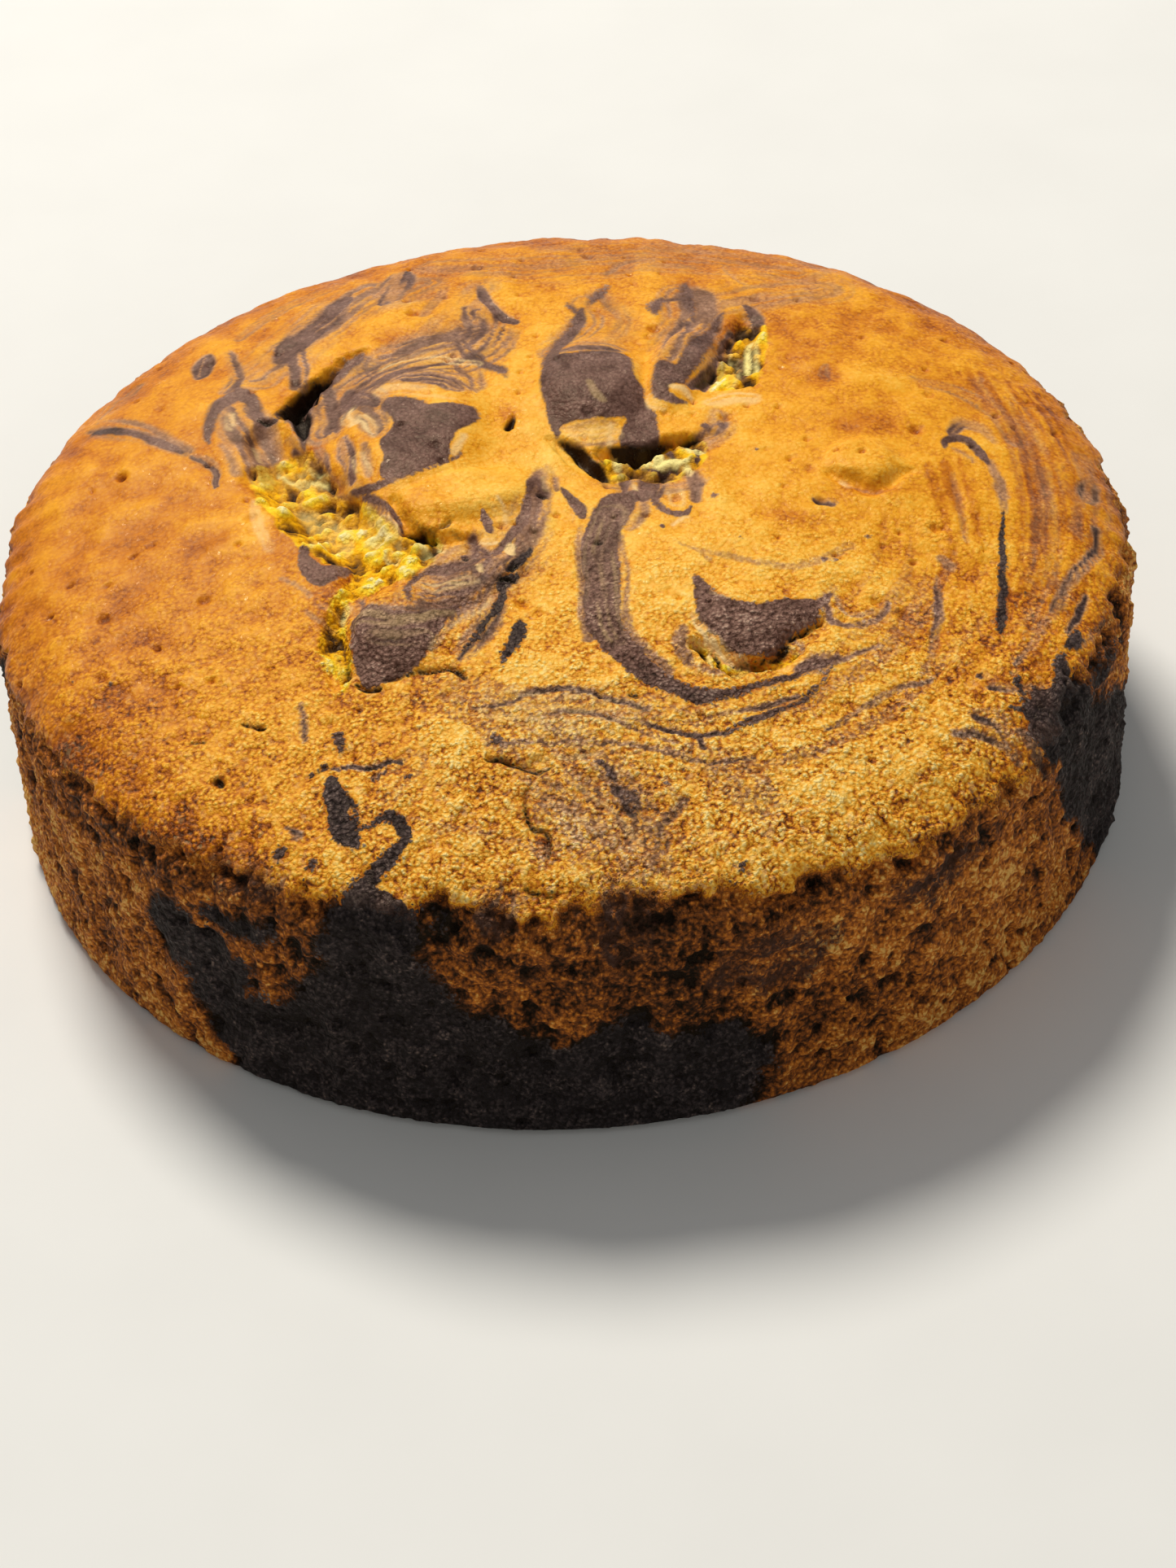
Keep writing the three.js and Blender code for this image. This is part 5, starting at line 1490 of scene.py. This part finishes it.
# Colours along a ramp, as seen on a screen: (place, (red, green, blue)).
CRUST = [(0.0, (255, 222, 132)), (0.2, (255, 198, 76)), (0.42, (242, 164, 28)),
         (0.62, (206, 119, 12)), (0.8, (154, 75, 16)), (1.0, (78, 36, 16))]
TAN_CRUST = [(0.0, (255, 240, 204)), (0.3, (246, 206, 140)), (0.5, (206, 150, 84)),
             (0.7, (140, 86, 42)), (1.0, (56, 32, 16))]
TORN_CRUMB = [(0.0, (60, 38, 16)), (0.2, (160, 106, 6)), (0.4, (250, 180, 0)),
              (0.66, (255, 218, 48)), (1.0, (255, 248, 190))]
WALL_CRUMB = [(0.0, (15, 9, 8)), (0.26, (76, 42, 23)), (0.5, (144, 79, 32)),
              (0.74, (208, 121, 40)), (1.0, (244, 188, 98))]
TOP_COCOA = [(0.0, (22, 12, 11)), (0.34, (82, 53, 44)), (0.62, (138, 102, 88)),
             (1.0, (212, 178, 152))]
WALL_COCOA = [(0.0, (11, 10, 12)), (0.42, (33, 30, 34)), (0.7, (70, 61, 61)),
              (1.0, (132, 112, 102))]
KHAKI = [(0.0, (62, 38, 26)), (0.4, (150, 106, 73)), (0.66, (204, 152, 110)),
         (1.0, (246, 212, 172))]
FLOOR = [(0.3, (226, 224, 217)), (0.7, (236, 234, 227))]

# The cream of the painted glints on the crust.
GLINT_CREAM = (255, 216, 148)
CREAM_AND_SHEEN_ON_CRUST = (244, 206, 140)
CREAM_ON_CRUMB = (255, 236, 150)
TINTED_WALL = (84, 48, 30)
WHITE = (255, 255, 255)
CLEFT_SHADE = (36, 26, 20)
SHEEN = (255, 216, 160)


def srgb(red, green, blue):
    """A colour as seen on a screen, 0 to 255, as Blender's linear colour."""
    def linear(value):
        value = value / 255
        return value / 12.92 if value <= 0.04045 else ((value + 0.055) / 1.055) ** 2.4
    return (linear(red), linear(green), linear(blue), 1.0)


class Nodes:
    """Short ways to make and join shader nodes."""

    def __init__(self, name):
        self.material = bpy.data.materials.new(name)
        self.material.use_nodes = True
        self.tree = self.material.node_tree
        self.tree.nodes.clear()
        self.place = self.add("ShaderNodeTexCoord").outputs["Object"]

    def add(self, kind, inputs=(), **settings):
        node = self.tree.nodes.new(kind)
        for key, value in settings.items():
            setattr(node, key, value)
        for key, value in dict(inputs).items():
            self.put(node.inputs[key], value)
        return node

    def put(self, socket, value):
        if isinstance(value, bpy.types.NodeSocket):
            self.tree.links.new(value, socket)
        elif value is not None:
            socket.default_value = value

    def field(self, name):
        return self.add("ShaderNodeAttribute", attribute_name=name).outputs["Fac"]

    def math(self, operation, a, b=None, c=None):
        node = self.add("ShaderNodeMath", operation=operation)
        for socket, value in zip(node.inputs, (a, b, c)):
            self.put(socket, value)
        return node.outputs[0]

    def times(self, value, factor):
        return self.math("MULTIPLY", value, factor)

    def total(self, start, *parts):
        """The start plus the value times the weight of every part."""
        for value, weight in parts:
            start = self.math("MULTIPLY_ADD", value, weight, start)
        return start

    def ramp(self, value, low, high, to=(0.0, 1.0)):
        """A smooth step from one number to another between two values."""
        node = self.add("ShaderNodeMapRange", interpolation_type="SMOOTHSTEP")
        for key, number in zip(("Value", "From Min", "From Max", "To Min", "To Max"),
                               (value, low, high, *to)):
            self.put(node.inputs[key], number)
        return node.outputs["Result"]

    def noise(self, size, detail=2.0, rough=0.5, curl=0.0):
        """Noise with bumps of a size in millimetres, centred on 0."""
        node = self.add("ShaderNodeTexNoise", {
            "Vector": self.place, "Scale": 1 / (size * MM), "Detail": detail,
            "Roughness": rough, "Distortion": curl})
        return self.math("SUBTRACT", node.outputs["Fac"], 0.5)

    def cell(self, size, output="Distance"):
        """Cells of a size in millimetres: the distance to their centres, or their colours."""
        node = self.add("ShaderNodeTexVoronoi", {"Vector": self.place, "Scale": 1 / (size * MM)})
        return node.outputs[output]

    def mix(self, amount, first, second, blend="MIX"):
        node = self.add("ShaderNodeMix", data_type="RGBA", blend_type=blend)
        factor, first_input, second_input = (node.inputs[k] for k in (0, 6, 7))
        self.put(factor, amount)
        self.put(first_input, first)
        self.put(second_input, second)
        return node.outputs[2]

    def colours(self, value, stops):
        """The colour at a value on a ramp of colours."""
        node = self.add("ShaderNodeValToRGB")
        ramp = node.color_ramp
        for place, _ in stops[2:]:
            ramp.elements.new(place)
        for element, (place, colour) in zip(ramp.elements, stops):
            element.position = place
            element.color = srgb(*colour)
        self.put(node.inputs["Fac"], value)
        return node.outputs["Color"]

    def surface(self, inputs):
        """Ends the material with a surface of these looks."""
        shader = self.add("ShaderNodeBsdfPrincipled", inputs)
        output = self.add("ShaderNodeOutputMaterial")
        self.put(output.inputs["Surface"], shader.outputs[0])
        return self.material


class CakeNodes(Nodes):
    """The nodes of the cake's skin, with the noises and masks that its colours share."""

    def __init__(self):
        super().__init__("cake_skin")
        self.make_grain()
        self.make_masks()

    def make_grain(self):
        """Noises of the crumb, from broad changes of tone down to single grains."""
        # rise is the height of the crumbs and pits. The colours below use it as painted shade:
        # darker in hollows, lighter on tops.
        self.rise = self.field("rise")
        self.grit = self.field("grit")
        self.broad = self.noise(26, 2)
        self.patch = self.noise(5, 3)
        self.speck = self.total(-0.5, (self.cell(0.65, "Color"), 1))
        self.fine = self.times(self.noise(0.75, 2, 0.6, 0.4), 4.0)
        granule = self.total(0.5, (self.cell(0.95), -1))
        self.coarse = self.total(0, (self.fine, 0.4), (granule, 1.2), (self.speck, 0.55))
        # The grain comes and goes over a few millimetres.
        strength = self.times(self.grit, self.ramp(self.patch, -0.3, 0.3, (0.5, 1.3)))
        self.grain = self.times(self.coarse, strength)

    def mask(self, name, low, high, *parts):
        """Where a kind of surface shows, from 0 to 1, with an edge that follows the parts."""
        return self.ramp(self.total(self.field(name), *parts), low, high)

    def make_masks(self):
        grain, patch = self.grain, self.patch
        self.wall = self.mask("wall", -0.3, 0.3, (grain, 2.0), (patch, 1.8))
        ragged = self.times(self.wall, self.total(0, (patch, 3.4), (grain, 1.8)))
        self.cocoa = self.mask("cocoa", -0.25, 0.3, (grain, 0.9), (ragged, 1))
        self.torn = self.mask("torn", -0.5, 0.6, (grain, 0.8), (patch, 1.5))
        self.cleft = self.mask("gap", -0.4, 0.5, (grain, 0.5))
        # Where pale cream and the painted highlights and sheen show.
        self.pale_and_sheen = self.mask("pale_and_sheen", 0.08, 0.95, (grain, 0.16))
        self.bare = self.math("MAXIMUM", self.wall, self.torn)
        # A tint breaks up into grains where it is weak, and shows less on torn crumb.
        veil_and_shade = self.field("veil_and_shade")
        grains = self.total(self.times(veil_and_shade, 1.2), (self.times(self.speck, self.grit), -0.5),
                            (self.times(self.fine, self.grit), 0.15))
        shown = self.total(self.ramp(veil_and_shade, 0.02, 0.2), (self.torn, -0.5))
        tint = self.times(self.ramp(grains, 0.0, 0.75), shown)
        self.tint = self.math("MAXIMUM", tint, 0.0)
        self.strong_tint = self.ramp(veil_and_shade, 0.35, 0.85)


def crust_colour(n, bake_and_shading):
    """Golden crust, a little less yellow where it is coarse, with painted glints as single cream
    grains.
    """
    # The tone follows the grain, which is also the bump's height, and the crumbs' height: real
    # speckle, with painted shade in the pits and painted light on the tops.
    tone = n.total(0.06, (bake_and_shading, 1), (n.broad, 0.22), (n.patch, 0.32), (n.grain, -0.55),
                   (n.rise, -0.26))
    crust = n.mix(n.times(n.grit, 0.06), n.colours(tone, CRUST), n.colours(tone, TAN_CRUST))
    # Painted glints: single cream grains in the coarse crust.
    glint = n.times(n.ramp(n.cell(0.9, "Color"), 0.7, 0.92), n.times(n.grit, 0.22))
    return n.mix(glint, crust, srgb(*GLINT_CREAM))


def crumb_colour(n, bake_and_shading):
    """The yellow crumb inside the splits."""
    # Painted shade: the crumb is darker in its hollows and lighter on its tops.
    tone = n.total(0.99, (bake_and_shading, -1), (n.patch, 0.5), (n.grain, 0.4), (n.rise, 0.34))
    return n.colours(tone, TORN_CRUMB)


def wall_colour(n, bake_and_shading):
    """The wall's brown crumb, with lighter grains, darker towards a patch of chocolate."""
    light = n.ramp(n.cell(1.5, "Color"), 0.7, 0.95)
    shaded = n.ramp(n.field("cocoa"), -3.5, 0.2, (0.89, 0.59))
    # Painted shade: the wall's crumb is darker in its hollows and lighter on its tops.
    tone = n.total(shaded, (bake_and_shading, -1), (n.patch, 0.3), (n.coarse, 0.46), (n.broad, 0.4),
                   (n.rise, 0.44), (light, 0.14))
    return n.colours(tone, WALL_CRUMB)


def cake_colour(n):
    bake_and_shading = n.field("bake_and_shading")
    colour = n.mix(n.torn, crust_colour(n, bake_and_shading), crumb_colour(n, bake_and_shading))
    colour = n.mix(n.wall, colour, wall_colour(n, bake_and_shading))
    # Painted shade: the chocolate is darker in its hollows and lighter on its tops.
    tone = n.total(0.49, (n.patch, 0.6), (n.coarse, 0.05), (n.grain, 0.4), (n.rise, 0.2))
    wall_cocoa = n.colours(tone, WALL_COCOA)
    dark = n.math("MAXIMUM", n.wall, n.times(n.field("dark"), 0.85))
    chocolate = n.mix(dark, n.colours(tone, TOP_COCOA), wall_cocoa)
    # A tint is khaki where it is weak and plain chocolate where it is strong.
    veiled = n.mix(n.strong_tint, n.colours(tone, KHAKI), chocolate)
    veiled = n.mix(n.wall, veiled, n.mix(0.5, wall_cocoa, srgb(*TINTED_WALL)))
    colour = n.mix(n.tint, colour, veiled)
    colour = n.mix(n.cocoa, colour, chocolate)
    # Pale cream streaks, and painted highlights and sheen on glossy places.
    cream_and_sheen = n.mix(n.torn, srgb(*CREAM_AND_SHEEN_ON_CRUST), srgb(*CREAM_ON_CRUMB))
    colour = n.mix(n.pale_and_sheen, colour, cream_and_sheen)
    # Painted shade: the colour is darkened in the deep clefts, cracks and pores.
    shade = n.mix(n.cleft, srgb(*WHITE), srgb(*CLEFT_SHADE))
    return n.mix(1.0, colour, shade, "MULTIPLY")


def cake_material():
    n = CakeNodes()
    depth = n.total(0.3, (n.bare, 0.3), (n.cocoa, 0.2))
    grain_bump = n.add("ShaderNodeBump", {
        "Strength": 1.0, "Distance": 1.0 * MM, "Height": n.times(n.grain, depth)})
    sparkle = n.ramp(n.speck, 0.3, 0.45)
    return n.surface({
        "Base Color": cake_colour(n), "Normal": grain_bump.outputs["Normal"],
        "Roughness": n.total(0.5, (n.fine, 0.06), (n.bare, 0.2), (sparkle, -0.26)),
        "Specular IOR Level": 0.22, "Specular Tint": srgb(*SHEEN)})


def floor_material():
    n = Nodes("pale_floor")
    tone = n.total(0.5, (n.noise(40, 3), 0.3))
    return n.surface({"Base Color": n.colours(tone, FLOOR), "Roughness": 0.7})


# ---- Objects ----------------------------------------------------------------------------------


def mesh_object(name, points, faces, material):
    mesh = bpy.data.meshes.new(name)
    mesh.vertices.add(len(points))
    mesh.vertices.foreach_set("co", points.astype(np.float32).ravel())
    mesh.loops.add(faces.size)
    mesh.loops.foreach_set("vertex_index", faces.astype(np.int32).ravel())
    mesh.polygons.add(len(faces))
    mesh.polygons.foreach_set("loop_start", np.arange(0, faces.size, 3, dtype=np.int32))
    mesh.update(calc_edges=True)
    mesh.polygons.foreach_set("use_smooth", np.ones(len(faces), dtype=bool))
    mesh.materials.append(material)
    piece = bpy.data.objects.new(name, mesh)
    bpy.context.scene.collection.objects.link(piece)
    return piece


def make_cake():
    points, outs, starts = skin_points()
    top, wall, foot = skin_faces(starts)
    shape = fields(points)
    relief, shape["rise"] = fine_relief(points, shape)
    points = points + outs * relief[:, None]
    points[:, 2] = np.maximum(points[:, 2], 0)
    piece = mesh_object("cake_skin", points * MM, np.concatenate([top, wall, foot]),
                        cake_material())
    layer = piece.data.uv_layers.new(name="OFBake")
    layer.uv.foreach_set("vector", loop_map(starts, top, wall, foot).astype(np.float32).ravel())
    for name, values in shape.items():
        attribute = piece.data.attributes.new(name, "FLOAT", "POINT")
        attribute.data.foreach_set("value", values.astype(np.float32))
    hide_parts("cake")
    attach(piece, "root")


# ---- Floor, light and camera, in metres -------------------------------------------------------

FLOOR_HALF = 7.0

# Soft round lights: (place, target, size, watts, colour).
LIGHTS = {
    "key": ((-0.7, 1.9, 2.6), (0, 0, 0.05), 1.1, 110, (1.0, 0.97, 0.92)),
    "fill": ((0.9, -2.4, 1.6), (0, 0, 0.03), 1.6, 9, (1.0, 0.98, 0.95)),
}
SKY_COLOUR = (0.92, 0.95, 1.0, 1.0)
SKY_STRENGTH = 0.25

CAMERA_PLACE = (-1.54, -565.7, 481.6)  # in millimetres, as are the lens and the sensor
CAMERA_PITCH = 0.719  # radians below the horizon
CAMERA_YAW = 0.007
CAMERA_ROLL = -0.066
FOCAL_LENGTH = 106.75
SENSOR_WIDTH = 36.0


def make_floor():
    corners = [(-FLOOR_HALF, -FLOOR_HALF, 0), (FLOOR_HALF, -FLOOR_HALF, 0),
               (FLOOR_HALF, FLOOR_HALF, 0), (-FLOOR_HALF, FLOOR_HALF, 0)]
    faces = np.array([(0, 1, 2), (0, 2, 3)])
    floor = mesh_object("floor", np.array(corners), faces, floor_material())


def soft_light(name, place, target, size, power, colour):
    light = bpy.data.lights.new(name, "AREA")
    light.shape = "DISK"
    light.size = size
    light.energy = power
    light.color = colour
    lamp = bpy.data.objects.new(name, light)
    lamp.location = place
    lamp.rotation_euler = (Vector(target) - Vector(place)).to_track_quat("-Z", "Y").to_euler()
    bpy.context.scene.collection.objects.link(lamp)


def make_light():
    for name, settings in LIGHTS.items():
        soft_light(name, *settings)
    world = bpy.data.worlds.new("studio")
    world.use_nodes = True
    background = world.node_tree.nodes["Background"]
    background.inputs["Color"].default_value = SKY_COLOUR
    background.inputs["Strength"].default_value = SKY_STRENGTH
    bpy.context.scene.world = world


def make_camera():
    data = bpy.data.cameras.new("camera")
    data.sensor_fit = "HORIZONTAL"
    data.sensor_width = SENSOR_WIDTH
    data.lens = FOCAL_LENGTH
    camera = bpy.data.objects.new("camera", data)
    bpy.context.scene.collection.objects.link(camera)
    ahead = Vector((math.sin(CAMERA_YAW) * math.cos(CAMERA_PITCH),
                    math.cos(CAMERA_YAW) * math.cos(CAMERA_PITCH), -math.sin(CAMERA_PITCH)))
    level = Vector((math.cos(CAMERA_YAW), -math.sin(CAMERA_YAW), 0))
    above = level.cross(ahead)
    right = level * math.cos(CAMERA_ROLL) + above * math.sin(CAMERA_ROLL)
    up = above * math.cos(CAMERA_ROLL) - level * math.sin(CAMERA_ROLL)
    turn = Matrix((right, up, -ahead)).transposed().to_4x4()
    camera.matrix_world = Matrix.Translation(Vector(CAMERA_PLACE) * MM) @ turn
    bpy.context.scene.camera = camera


make_camera()
make_cake()
make_floor()
make_light()
bpy.context.scene.view_settings.view_transform = "Standard"
